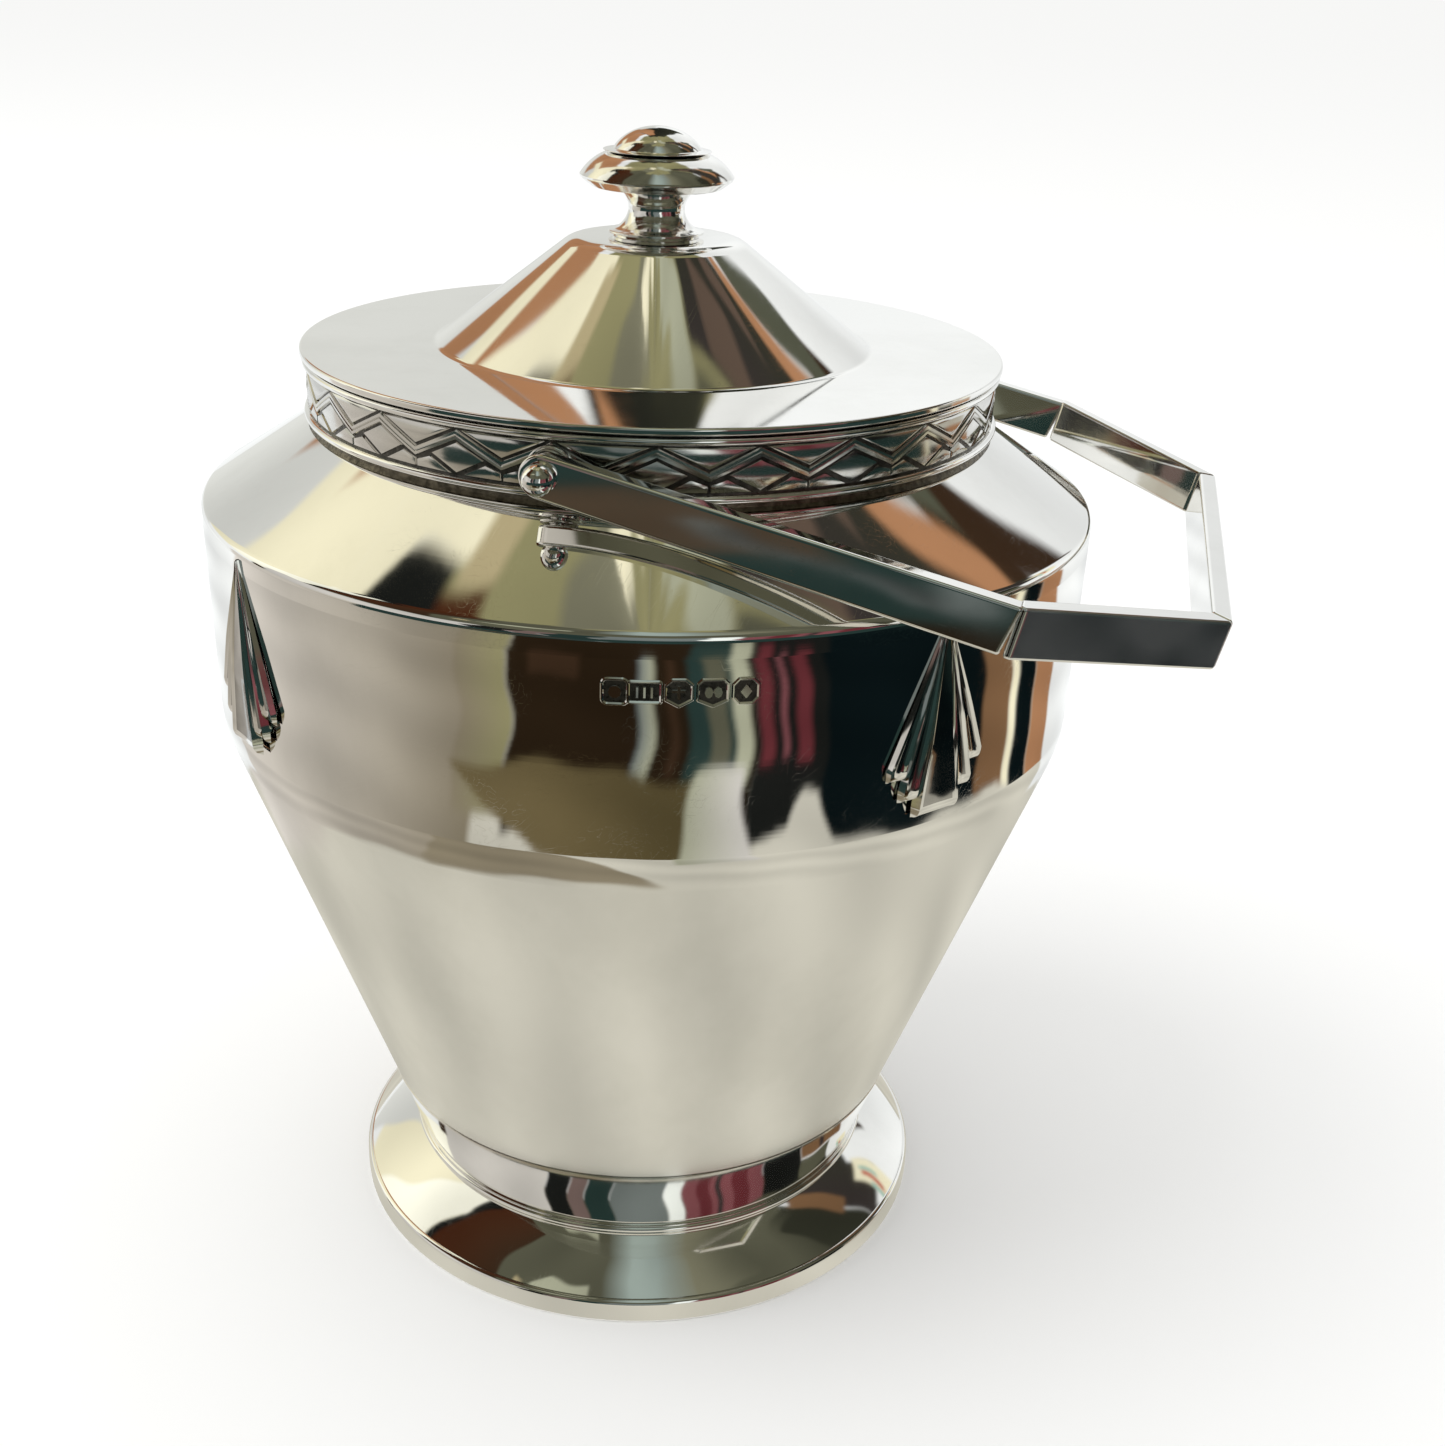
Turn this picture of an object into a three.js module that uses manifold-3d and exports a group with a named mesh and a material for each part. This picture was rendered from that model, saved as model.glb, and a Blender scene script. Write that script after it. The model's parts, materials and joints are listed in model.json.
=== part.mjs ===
// Lidded silver barrel on a spreading foot, with a stepped neck band, a lift-off lid
// with a turned finial, and a five-bar bail handle that swings on two ball-headed pins.
// Millimetres, +Z up. The hinge axis of the handle runs along Y and the handle leans to +X.
import * as THREE from "three";
import { mergeVertices } from "three/addons/utils/BufferGeometryUtils.js";
import Module from "manifold-3d";

// ---------------------------------------------------------------- driving dimensions
const gap = 0.3; // between pieces that are soldered or laid together
const sheet = 1.0; // thickness of the spun silver sheet
const bodyTurns = 48; // facets round the large turned pieces
const fineTurns = 24; // facets round the finial and the pins

const drumRadius = 60;
const drumTopZ = 109.7;
const bendRadius = 59.45; // outer radius where the cone meets the drum
const bendZ = 80.3;
const bendFillet = 14;
const coneFootRadius = 38.8; // the lower cone's end, on top of the foot ring
const coneFootZ = 21.7;

const footRadius = 43.2;
const footRimHeight = 3.7;
const footRimWidth = 2.2;
const footRingBottomRadius = 34.6;
const footRingBottomZ = 9.9;
const footBeadRadius = 0.55;
const flangeSheet = 0.75; // the foot flange's thickness, along each axis

const shoulderEdgeFillet = 1.3;
const shoulderSkirt = 1.1; // straight part of the shoulder's rim below its rounded edge
const neckSeamRadius = 45.3; // where the shoulder runs under the neck band
const neckSeamZ = 119.7;
const collarInnerRadius = 43.6;
const collarBottomZ = 118.6;
const bandInnerRadius = 44.9;
const friezeRadius = 45.4;
const friezeBottomZ = 121.7;
const friezeTopZ = 126.9;
const wireRadius = 46.2;
const neckTopZ = 128.1;

const lidRadius = 46.4;
const lidTopZ = 129.3;
const lidSheet = 0.9;
const lidConeRadius = 28.9; // where the lid's cone rises from its flat rim
const lidConeSlope = 1.298; // fall of radius for each millimetre of height
const lidCrownZ = 143.1;
const lidCrownFillet = 4;
const lidRootFillet = 1.2; // where the flat rim turns up into the cone
const bezelInnerRadius = 42.2;
const bezelOuterRadius = 43.1;
const bezelBottomZ = 122.4;

const studRadius = 1.25;
const studHole = 1.55;
const studBottomZ = 139;
const studTopZ = 155.2;
const stemBaseRadius = 6.2; // the small flange on which the finial's stem stands
const stemBaseZ = 143.9;
const stemWaist = 3.5;
const stemTopZ = 148.9;
const saucerRadius = 10;
const saucerRidgeZ = 150.7;
const saucerBottomZ = 149.2;
const saucerTopZ = 153.4;
const capRadius = 7.2;
const capBottomZ = 153.7;
const capTopZ = 156.8;
const washerThickness = 0.5; // of the washer and the nut inside the lid
const nutThickness = 1.8;

const hingeZ = 123.85;
const droop = THREE.MathUtils.degToRad(12.87); // the handle's fall below level, at rest
const handleHalfWidth = 49.8; // hinge plane to the outer face of an arm
const barThickness = 2.5;
const armPivotHalf = 2.6; // half the bar's height at the pivot
const armEndHalf = 3.05;
const gripHalf = 3.15;
const armLength = 55; // pivot to the bend between arm and knee
const gripReach = 78.36; // pivot to the grip's outer face
const gripHalfLength = 32.05;

const pinRadius = 1.3;
const pinHole = 1.55;
const pinHeadRadius = 1.85;
const pinInnerEnd = 43.9;
const bossRadius = 2.8;
const bossInner = 45.65;
const bossOuter = 46.45;
const washerRadius = 2.5;
const washerInner = 46.65;
const washerOuter = 47.05;

const fanTopZ = 109.6; // where the lines of the pleats would meet
const fanStart = 0.05; // the part of its depth at which each pleat starts
const fanBase = 0.4; // height of a pleat at its top
const fanSplit = 0.012; // between the spreads of neighbouring pleats
const fanTurn = THREE.MathUtils.degToRad(4); // the fans sit this far round from the diagonals
// Each pleat from the middle outwards: its outer edge's spread for each millimetre down,
// how far down it ends, and its height there at its inner and outer edges.
const fanPleats = [
  { spread: 0.14, drop: 25.1, inner: 1.0, outer: 1.3 },
  { spread: 0.262, drop: 22.6, inner: 0.7, outer: 1.0 },
  { spread: 0.402, drop: 19.7, inner: 0.4, outer: 0.8 },
];

// The whole object stands centred on its own base box, so the vessel's axis is a little to -X.
const handleReachX = gripReach * Math.cos(droop) + gripHalf * Math.sin(droop);
const vesselX = (drumRadius - handleReachX) / 2;

// ---------------------------------------------------------------- materials
const polished = () => new THREE.MeshStandardMaterial({ color: 0xd9d8d2, metalness: 1, roughness: 0.12 });
const satin = () => new THREE.MeshStandardMaterial({ color: 0xcfcdc6, metalness: 1, roughness: 0.32 });
const oxidised = () => new THREE.MeshStandardMaterial({ color: 0x8d8982, metalness: 1, roughness: 0.35 });

// ---------------------------------------------------------------- shape helpers
const wasm = await Module();
wasm.setup();

const point = (x, y) => new THREE.Vector2(x, y);

// Points on an arc about (x, y), from one angle to another in degrees.
function arc(x, y, radius, fromDegrees, toDegrees, steps) {
  return Array.from({ length: steps + 1 }, (_, i) => {
    const angle = THREE.MathUtils.degToRad(fromDegrees + ((toDegrees - fromDegrees) * i) / steps);
    return point(x + radius * Math.cos(angle), y + radius * Math.sin(angle));
  });
}

// The corner between two straight runs, rounded to a radius.
function rounded(before, corner, after, radius, steps) {
  const a = before.clone().sub(corner).normalize();
  const b = after.clone().sub(corner).normalize();
  const half = Math.acos(a.dot(b)) / 2;
  const centre = corner.clone().addScaledVector(a.clone().add(b).normalize(), radius / Math.sin(half));
  const start = corner.clone().addScaledVector(a, radius / Math.tan(half)).sub(centre);
  const end = corner.clone().addScaledVector(b, radius / Math.tan(half)).sub(centre);
  const turn = Math.atan2(start.x * end.y - start.y * end.x, start.dot(end));
  return Array.from({ length: steps + 1 }, (_, i) =>
    start.clone().rotateAround(point(0, 0), (turn * i) / steps).add(centre));
}

function welded(geometry) {
  geometry.deleteAttribute("normal");
  geometry.deleteAttribute("uv");
  return mergeVertices(geometry, 1e-4);
}

// A profile of radius and height, spun round +Z. It runs up the outside and down the inside.
function turned(profile, facets) {
  const geometry = new THREE.LatheGeometry(profile, facets);
  geometry.rotateX(Math.PI / 2);
  return welded(geometry);
}

// A turned piece whose profile closes on itself.
const turnedRing = (profile, facets) => turned([...profile, profile[0].clone()], facets);

function toSolid(geometry) {
  const vertProperties = new Float32Array(geometry.attributes.position.array);
  const triVerts = new Uint32Array(geometry.index.array);
  return new wasm.Manifold(new wasm.Mesh({ numProp: 3, vertProperties, triVerts }));
}

function fromSolid(solid) {
  const mesh = solid.getMesh();
  const geometry = new THREE.BufferGeometry();
  geometry.setAttribute("position", new THREE.BufferAttribute(new Float32Array(mesh.vertProperties), 3));
  geometry.setIndex(new THREE.BufferAttribute(new Uint32Array(mesh.triVerts), 1));
  return geometry;
}

// A neck piece with a round bar of the given radius taken out of it along the hinge axis.
function drilled(geometry, radius) {
  const drill = new THREE.CylinderGeometry(radius, radius, 2 * drumRadius, fineTurns);
  drill.translate(0, 0, hingeZ);
  return fromSolid(toSolid(geometry).subtract(toSolid(welded(drill))));
}

function piece(name, geometry, material) {
  geometry.computeVertexNormals();
  const mesh = new THREE.Mesh(geometry, material);
  mesh.name = name;
  return mesh;
}

// ---------------------------------------------------------------- foot
function footRimWire() {
  const inner = footRadius - footRimWidth;
  const roundEdge = arc(footRadius - 0.8, footRimHeight - 0.8, 0.8, 0, 90, 3);
  return piece("foot_rim_wire", turnedRing([point(inner, 0), point(footRadius - 0.2, 0),
    point(footRadius, 0.4), ...roundEdge, point(inner, footRimHeight)], bodyTurns), polished());
}

// A full-cheeked skirt between the rim wire and the foot ring.
function footFlange() {
  const outerEdge = point(footRadius - 0.9, footRimHeight + gap);
  const innerEdge = point(footRingBottomRadius - sheet, footRingBottomZ - 1.1);
  const cheek = point(footRingBottomRadius + 4.0, footRingBottomZ - 3.2);
  const top = new THREE.QuadraticBezierCurve(outerEdge, cheek, innerEdge).getPoints(4);
  const under = top.map((p) => point(p.x - flangeSheet, p.y - flangeSheet)).reverse();
  under[under.length - 1].set(outerEdge.x - 2 * flangeSheet, outerEdge.y);
  return piece("foot_flange", turnedRing([...top, ...under], bodyTurns), polished());
}

function footBead() {
  const profile = arc(footRingBottomRadius + 0.35, footRingBottomZ - 0.9, footBeadRadius, -90, 210, 5);
  return piece("foot_bead", turnedRing(profile, bodyTurns), polished());
}

function footRing() {
  const topZ = coneFootZ - gap;
  return piece("foot_ring", turnedRing([
    point(footRingBottomRadius - sheet, footRingBottomZ), point(footRingBottomRadius, footRingBottomZ),
    point(coneFootRadius, topZ), point(coneFootRadius - sheet, topZ),
  ], bodyTurns), polished());
}

// ---------------------------------------------------------------- body
function bodyShell() {
  const wallTopZ = drumTopZ - shoulderSkirt - shoulderEdgeFillet;
  const foot = point(coneFootRadius, coneFootZ);
  const bend = point(bendRadius, bendZ);
  const rim = point(drumRadius, wallTopZ);
  const inside = (p) => point(p.x - sheet, p.y);
  const floorCorner = point(coneFootRadius - sheet, coneFootZ + sheet);
  const outer = rounded(foot, bend, rim, bendFillet, 3);
  const inner = rounded(inside(rim), inside(bend), floorCorner, bendFillet - sheet, 3);
  return piece("body_shell", turned([point(0, coneFootZ), foot, ...outer, rim, inside(rim), ...inner,
    floorCorner, point(0, coneFootZ + sheet)], bodyTurns), satin());
}

function shoulder() {
  const bottomZ = drumTopZ - shoulderSkirt - shoulderEdgeFillet + gap;
  const skirt = point(drumRadius, bottomZ);
  const edge = point(drumRadius, drumTopZ + 0.3);
  const slope = (neckSeamZ - drumTopZ) / (drumRadius - neckSeamRadius);
  const innerEdge = point(bandInnerRadius, neckSeamZ + slope * (neckSeamRadius - bandInnerRadius));
  const outer = rounded(skirt, edge, innerEdge, shoulderEdgeFillet, 3);
  const inner = [point(innerEdge.x, innerEdge.y - sheet), point(drumRadius - sheet, drumTopZ - sheet),
    point(drumRadius - sheet, bottomZ)];
  return piece("shoulder", turnedRing([skirt, ...outer, innerEdge, ...inner], bodyTurns), polished());
}

// A pleated fan on the drum, narrow at the top, its pleats ending in steps.
function fan(name, angle) {
  const half = fanPleats.flatMap((pleat, i) => {
    const start = i === 0 ? 0 : fanPleats[i - 1].spread + fanSplit;
    return [{ spread: start, drop: pleat.drop, relief: pleat.inner },
      { spread: pleat.spread, drop: pleat.drop, relief: pleat.outer }];
  });
  const mirrored = half.slice(1).reverse().map((column) => ({ ...column, spread: -column.spread }));
  const columns = [...mirrored, ...half];
  const spaces = columns.length - 1;
  const geometry = new THREE.BoxGeometry(spaces, 2, 1, spaces, 2, 1);
  const position = geometry.attributes.position;
  for (let i = 0; i < position.count; i += 1) {
    const column = columns[Math.round(position.getX(i) + spaces / 2)];
    const down = fanStart + ((1 - fanStart) * (1 - position.getY(i))) / 2;
    const height = position.getZ(i) > 0 ? fanBase + column.relief * down : 0;
    const across = (column.spread * column.drop * down) / drumRadius;
    const radius = (drumRadius + gap + height) / Math.cos(across / 2);
    const turn = angle + across;
    position.setXYZ(i, radius * Math.cos(turn), radius * Math.sin(turn), fanTopZ - column.drop * down);
  }
  return piece(name, welded(geometry), polished());
}

// ---------------------------------------------------------------- neck
function neckCollar() {
  const outer = bandInnerRadius - gap;
  const tube = turnedRing([point(collarInnerRadius, collarBottomZ), point(outer, collarBottomZ),
    point(outer, neckTopZ), point(collarInnerRadius, neckTopZ)], bodyTurns);
  return piece("neck_collar", drilled(tube, pinHole), satin());
}

function friezeBand() {
  const band = turnedRing([point(bandInnerRadius, friezeBottomZ), point(friezeRadius, friezeBottomZ),
    point(friezeRadius, friezeTopZ), point(bandInnerRadius, friezeTopZ)], bodyTurns);
  return piece("frieze_band", drilled(band, pinHole), oxidised());
}

function neckWire(name, bottomZ, topZ) {
  const middle = (bottomZ + topZ) / 2;
  const half = (topZ - bottomZ) / 2;
  const nose = arc(wireRadius - half, middle, half, -90, 90, 4);
  const profile = [point(bandInnerRadius, bottomZ), ...nose, point(bandInnerRadius, topZ)];
  return piece(name, drilled(turnedRing(profile, bodyTurns), bossRadius + gap), polished());
}

// ---------------------------------------------------------------- handle pivots
// A turned piece whose axis is the hinge, on the side given by side (+1 or -1).
function onHinge(name, profile, side, material) {
  const geometry = turned(profile, fineTurns);
  geometry.rotateX(-side * Math.PI / 2);
  geometry.translate(0, 0, hingeZ);
  return piece(name, geometry, material);
}

function tube(innerRadius, outerRadius, from, to) {
  const corners = [point(innerRadius, from), point(outerRadius, from), point(outerRadius, to),
    point(innerRadius, to)];
  return [...corners, corners[0].clone()];
}

function pivotPin(name, side) {
  const headBase = handleHalfWidth + gap;
  const headCentre = headBase + 0.5;
  const startAngle = THREE.MathUtils.radToDeg(Math.asin((headBase - headCentre) / pinHeadRadius));
  const head = arc(0, headCentre, pinHeadRadius, startAngle, 90, 6);
  head[head.length - 1].x = 0;
  const shank = [point(0, pinInnerEnd), point(pinRadius, pinInnerEnd), point(pinRadius, headBase)];
  return onHinge(name, [...shank, ...head], side, polished());
}

function pivotBoss(name, side) {
  return onHinge(name, tube(pinHole, bossRadius, bossInner, bossOuter), side, polished());
}

function pivotWasher(name, side) {
  return onHinge(name, tube(pinHole, washerRadius, washerInner, washerOuter), side, satin());
}

// ---------------------------------------------------------------- handle
// The handle's own frame: X runs out from the hinge, Y along it, Z across the bars.
const armBend = Math.atan2(handleHalfWidth - gripHalfLength, gripReach - armLength);
const armMitre = barThickness * Math.tan(armBend / 2);
const gripMitre = barThickness * Math.tan((Math.PI / 2 - armBend) / 2);
const kneeStart = armLength - armMitre;

function handleArm(name, side) {
  const end = kneeStart - gap;
  const roundEnd = arc(0, 0, armPivotHalf, 90, 270, 12);
  const shape = new THREE.Shape([...roundEnd, point(end, -armEndHalf), point(end, armEndHalf)]);
  shape.holes.push(new THREE.Path(arc(0, 0, pinHole, 360, 0, fineTurns).slice(0, -1)));
  const geometry = new THREE.ExtrudeGeometry(shape, { depth: barThickness, bevelEnabled: false });
  geometry.rotateX(Math.PI / 2);
  geometry.translate(0, side > 0 ? handleHalfWidth : barThickness - handleHalfWidth, 0);
  return piece(name, welded(geometry), polished());
}

function flatBar(name, points) {
  const shape = new THREE.Shape(points);
  const geometry = new THREE.ExtrudeGeometry(shape, { depth: 2 * gripHalf, bevelEnabled: false });
  geometry.translate(0, 0, -gripHalf);
  return piece(name, welded(geometry), polished());
}

function handleKnee(name, side) {
  const points = [point(kneeStart, handleHalfWidth), point(armLength, handleHalfWidth),
    point(gripReach, gripHalfLength), point(gripReach - barThickness, gripHalfLength - gripMitre),
    point(kneeStart, handleHalfWidth - barThickness)];
  return flatBar(name, points.map((p) => point(p.x, side * p.y)));
}

function handleGrip() {
  const outer = gripHalfLength - 1.15 * gap;
  const inner = outer - gripMitre;
  return flatBar("handle_grip", [point(gripReach, -outer), point(gripReach, outer),
    point(gripReach - barThickness, inner), point(gripReach - barThickness, -inner)]);
}

// ---------------------------------------------------------------- lid
function lidPlate() {
  const crownRadius = lidConeRadius - lidConeSlope * (lidCrownZ - lidTopZ);
  const rimTop = point(lidRadius, lidTopZ);
  const coneFoot = point(lidConeRadius, lidTopZ);
  const crown = point(crownRadius, lidCrownZ);
  const centre = point(studHole, lidCrownZ);
  const below = (p) => point(p.x - 0.2, p.y - lidSheet);
  const edgeRadius = 0.4;
  const profile = [point(lidRadius - 0.3, lidTopZ - lidSheet), point(lidRadius, lidTopZ - 0.6)];
  profile.push(...arc(lidRadius - edgeRadius, lidTopZ - edgeRadius, edgeRadius, 0, 90, 2));
  profile.push(...rounded(rimTop, coneFoot, crown, lidRootFillet, 2));
  profile.push(...rounded(coneFoot, crown, centre, lidCrownFillet, 3));
  profile.push(centre, point(studHole, lidCrownZ - lidSheet), below(crown), below(coneFoot));
  return piece("lid_plate", turnedRing(profile, bodyTurns), polished());
}

function lidBezel() {
  const topZ = lidTopZ - lidSheet - gap;
  const lead = 0.3; // the bevel that guides the bezel into the neck
  return piece("lid_bezel", turnedRing([
    point(bezelInnerRadius, bezelBottomZ), point(bezelOuterRadius - lead, bezelBottomZ),
    point(bezelOuterRadius, bezelBottomZ + 1), point(bezelOuterRadius, topZ), point(bezelInnerRadius, topZ),
  ], bodyTurns), satin());
}

// ---------------------------------------------------------------- finial
// A small flange, then a stem that narrows to a waist and flares again under the saucer.
function finialStem() {
  const bottomZ = lidCrownZ + gap;
  const neckZ = stemBaseZ + 0.6;
  const waist = new THREE.CubicBezierCurve(
    point(stemWaist + 1.1, neckZ + 0.3), point(stemWaist, neckZ + 1.2),
    point(stemWaist - 0.2, stemTopZ - 1.4), point(stemWaist + 1.2, stemTopZ),
  );
  return piece("finial_stem", turnedRing([
    point(studHole, bottomZ), point(stemBaseRadius - 1.1, bottomZ), point(stemBaseRadius, stemBaseZ),
    point(stemBaseRadius - 0.1, stemBaseZ + 0.2), point(stemWaist + 1.6, stemBaseZ + 0.35),
    point(stemWaist + 1.6, neckZ), ...waist.getPoints(5), point(studHole, stemTopZ),
  ], fineTurns), polished());
}

// A domed disc with a blunt ridge round it and a flat underside.
function finialSaucer() {
  const ridge = point(saucerRadius, saucerRidgeZ);
  const shoulderEdge = point(6.6, saucerTopZ);
  const bulge = point(saucerRadius - 1.2, saucerTopZ - 0.9);
  const dome = new THREE.QuadraticBezierCurve(ridge, bulge, shoulderEdge);
  return piece("finial_saucer", turnedRing([
    point(studHole, saucerBottomZ), point(5, saucerBottomZ), point(saucerRadius - 1, saucerBottomZ + 0.5),
    ...dome.getPoints(4), point(studHole, saucerTopZ),
  ], fineTurns), polished());
}

// A low dome on a thin brim, hollowed below for the end of the stud.
function finialCap() {
  const hollowTopZ = studTopZ + gap;
  const dome = new THREE.CubicBezierCurve(point(5.6, capBottomZ + 0.5), point(5, capTopZ - 1.5),
    point(3.2, capTopZ - 0.1), point(1.4, capTopZ));
  return piece("finial_cap", turned([
    point(0, hollowTopZ), point(studHole, hollowTopZ), point(studHole, capBottomZ),
    point(capRadius - 0.5, capBottomZ), point(capRadius, capBottomZ + 0.2), ...dome.getPoints(5),
    point(0, capTopZ),
  ], fineTurns), polished());
}

function finialStud() {
  return piece("finial_stud", turned([point(0, studBottomZ), point(studRadius, studBottomZ),
    point(studRadius, studTopZ), point(0, studTopZ)], fineTurns), satin());
}

function finialWasher() {
  const topZ = lidCrownZ - lidSheet - gap;
  const profile = tube(studHole, 3.2, topZ - washerThickness, topZ);
  return piece("finial_washer", turned(profile, fineTurns), satin());
}

function finialNut() {
  const topZ = lidCrownZ - lidSheet - gap - washerThickness - gap;
  const shape = new THREE.Shape(arc(0, 0, 2.9, 0, 300, 5));
  shape.holes.push(new THREE.Path(arc(0, 0, studHole, 360, 0, fineTurns).slice(0, -1)));
  const geometry = new THREE.ExtrudeGeometry(shape, { depth: nutThickness, bevelEnabled: false });
  geometry.translate(0, 0, topZ - nutThickness);
  return piece("finial_nut", welded(geometry), satin());
}

// ---------------------------------------------------------------- assembly
const vessel = new THREE.Group();
vessel.position.x = vesselX;
vessel.add(footRimWire(), footFlange(), footBead(), footRing(), bodyShell(), shoulder());
vessel.add(neckCollar(), friezeBand());
vessel.add(neckWire("neck_bottom_wire", friezeBottomZ - 1.3, friezeBottomZ - gap));
vessel.add(neckWire("neck_top_wire", friezeTopZ + gap, neckTopZ));
for (let i = 0; i < 4; i += 1) {
  vessel.add(fan(`fan_${i + 1}`, Math.PI / 4 + fanTurn + (i * Math.PI) / 2));
}
vessel.add(lidPlate(), lidBezel(), finialStem(), finialSaucer(), finialCap(), finialStud());
vessel.add(finialWasher(), finialNut());

const handle = new THREE.Group();
handle.position.z = hingeZ;
handle.rotation.y = droop;
handle.add(handleGrip());
for (const [label, side] of [["near", -1], ["far", 1]]) {
  vessel.add(pivotPin(`pivot_pin_${label}`, side), pivotBoss(`pivot_boss_${label}`, side));
  vessel.add(pivotWasher(`pivot_washer_${label}`, side));
  handle.add(handleArm(`handle_arm_${label}`, side), handleKnee(`handle_knee_${label}`, side));
}
vessel.add(handle);

const barrel = new THREE.Group();
barrel.add(vessel);
export default barrel;
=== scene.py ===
"""The looks of a lidded silver barrel with a swing handle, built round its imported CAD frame.

Shapes are worked out in millimetres in the frame's own axes and stored in metres.
Azimuths are in degrees round +Z, 0 towards -Y and growing towards +X.
"""
import json
import math

import bmesh
import bpy
import numpy as np
from mathutils import Matrix, Vector


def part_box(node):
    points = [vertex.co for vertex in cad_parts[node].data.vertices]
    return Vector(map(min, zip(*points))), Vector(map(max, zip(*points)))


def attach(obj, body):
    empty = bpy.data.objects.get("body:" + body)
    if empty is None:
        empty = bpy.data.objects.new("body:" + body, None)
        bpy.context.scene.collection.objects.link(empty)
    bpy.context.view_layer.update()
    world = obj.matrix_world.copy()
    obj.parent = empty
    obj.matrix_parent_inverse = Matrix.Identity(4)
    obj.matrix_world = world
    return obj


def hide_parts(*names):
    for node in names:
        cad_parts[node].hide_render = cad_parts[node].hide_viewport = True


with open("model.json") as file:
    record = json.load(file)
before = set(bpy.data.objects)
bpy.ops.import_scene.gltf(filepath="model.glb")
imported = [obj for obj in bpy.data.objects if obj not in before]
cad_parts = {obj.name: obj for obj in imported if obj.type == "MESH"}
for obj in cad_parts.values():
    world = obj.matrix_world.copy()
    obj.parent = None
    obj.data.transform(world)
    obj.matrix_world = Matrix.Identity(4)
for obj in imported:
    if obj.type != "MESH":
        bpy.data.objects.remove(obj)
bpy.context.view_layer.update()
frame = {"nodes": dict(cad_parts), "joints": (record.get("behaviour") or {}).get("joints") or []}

MM = 0.001
TURNS = 256            # facets round the large turned pieces
FINE_TURNS = 96        # facets round the finial and the pivots
FILLET_STEP = 7.0      # degrees of turn for each facet of a rounded corner
SUPPORT = 0.15         # flat margin kept beside each corner, so that shading stays true
SHARP_ANGLE = math.radians(28)


# ------------------------------------------------------------------ sizes from the frame
def low(node):
    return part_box(node)[0] / MM


def high(node):
    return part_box(node)[1] / MM


def radius_of(node):
    return (high(node).y - low(node).y) / 2


AXIS_X = (low("foot_rim_wire").x + high("foot_rim_wire").x) / 2
FOOT_RADIUS = radius_of("foot_rim_wire")
FOOT_RIM_TOP = high("foot_rim_wire").z
BAND_TOP_RADIUS = radius_of("foot_ring")
BAND_BOTTOM = low("foot_ring").z
BAND_TOP = high("foot_ring").z
CONE_BOTTOM = low("body_shell").z
DRUM_RADIUS = radius_of("body_shell")
WALL_TOP = high("body_shell").z
SHOULDER_TOP = high("shoulder").z
COLLAR_RADIUS = radius_of("neck_collar")
NECK_TOP = high("neck_collar").z
NECK_BOTTOM = low("neck_collar").z
FRIEZE_RADIUS = radius_of("frieze_band")
WIRE_RADIUS = radius_of("neck_top_wire")
LID_RADIUS = radius_of("lid_plate")
LID_CROWN = high("lid_plate").z
BEZEL_RADIUS = radius_of("lid_bezel")
HINGE = Vector(next(j for j in frame["joints"] if j["name"] == "handle_swing")["pos_m"]) / MM

SHEET = 1.0            # thickness of the spun silver
OVERLAP = 0.28         # how far a turned piece runs on into the next one, to leave no gap
CLEAR = 0.02           # gap that keeps two touching faces apart
BAND_BOTTOM_RADIUS = 34.6
BEND_RADIUS = 59.45
BEND_Z = 80.3
BEND_FILLET = 14.0
DRUM_TOP = 109.7
SHOULDER_FILLET = 1.3
SEAM_RADIUS = 45.3
SEAM_Z = 119.7
COLLAR_INNER = 43.6
LID_FLAT = 129.3       # height of the lid's flat rim
LID_SHEET = 0.9
LID_CONE_RADIUS = 28.95
LID_CONE_SLOPE = 1.298
STUD_HOLE = 1.55
FAN_TOP = 109.4
GRIP_HALF_LENGTH = 32.05
BAR_THICKNESS = 2.5
ARM_LENGTH = 55.0


# ------------------------------------------------------------------ mesh helpers
def turned_point(radius, azimuth, z):
    angle = math.radians(azimuth)
    return Vector((AXIS_X + radius * math.sin(angle), -radius * math.cos(angle), z))


def piece(name, points, faces, material, body_name, slot, replaces=()):
    """A mesh object from points in millimetres, shaded smooth but for its sharp edges."""
    mesh = bpy.data.meshes.new(name)
    mesh.from_pydata([Vector(p) * MM for p in points], [], faces)
    outward = bmesh.new()
    outward.from_mesh(mesh)
    bmesh.ops.remove_doubles(outward, verts=outward.verts, dist=1e-7)
    bmesh.ops.recalc_face_normals(outward, faces=outward.faces)
    outward.to_mesh(mesh)
    outward.free()
    mesh.polygons.foreach_set("use_smooth", [True] * len(mesh.polygons))
    mesh.set_sharp_from_angle(angle=SHARP_ANGLE)
    for one in material if isinstance(material, (list, tuple)) else [material]:
        mesh.materials.append(one)
    made = bpy.data.objects.new(name, mesh)
    bpy.context.scene.collection.objects.link(made)
    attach(made, body_name)
    if replaces:
        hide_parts(*replaces)
    return made


def fillet(before, corner, after, radius):
    """Points on the arc that rounds a corner."""
    back = (before - corner).normalized()
    on = (after - corner).normalized()
    half = back.angle(on) / 2
    reach = min(radius / math.tan(half), 0.45 * (before - corner).length, 0.45 * (after - corner).length)
    radius = reach * math.tan(half)
    centre = corner + (back + on).normalized() * radius / math.sin(half)
    start = corner + back * reach - centre
    end = corner + on * reach - centre
    turn = start.angle_signed(end)
    steps = max(3, round(math.degrees(abs(turn)) / FILLET_STEP))
    return [centre + Matrix.Rotation(-turn * i / steps, 2) @ start for i in range(steps + 1)]


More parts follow.
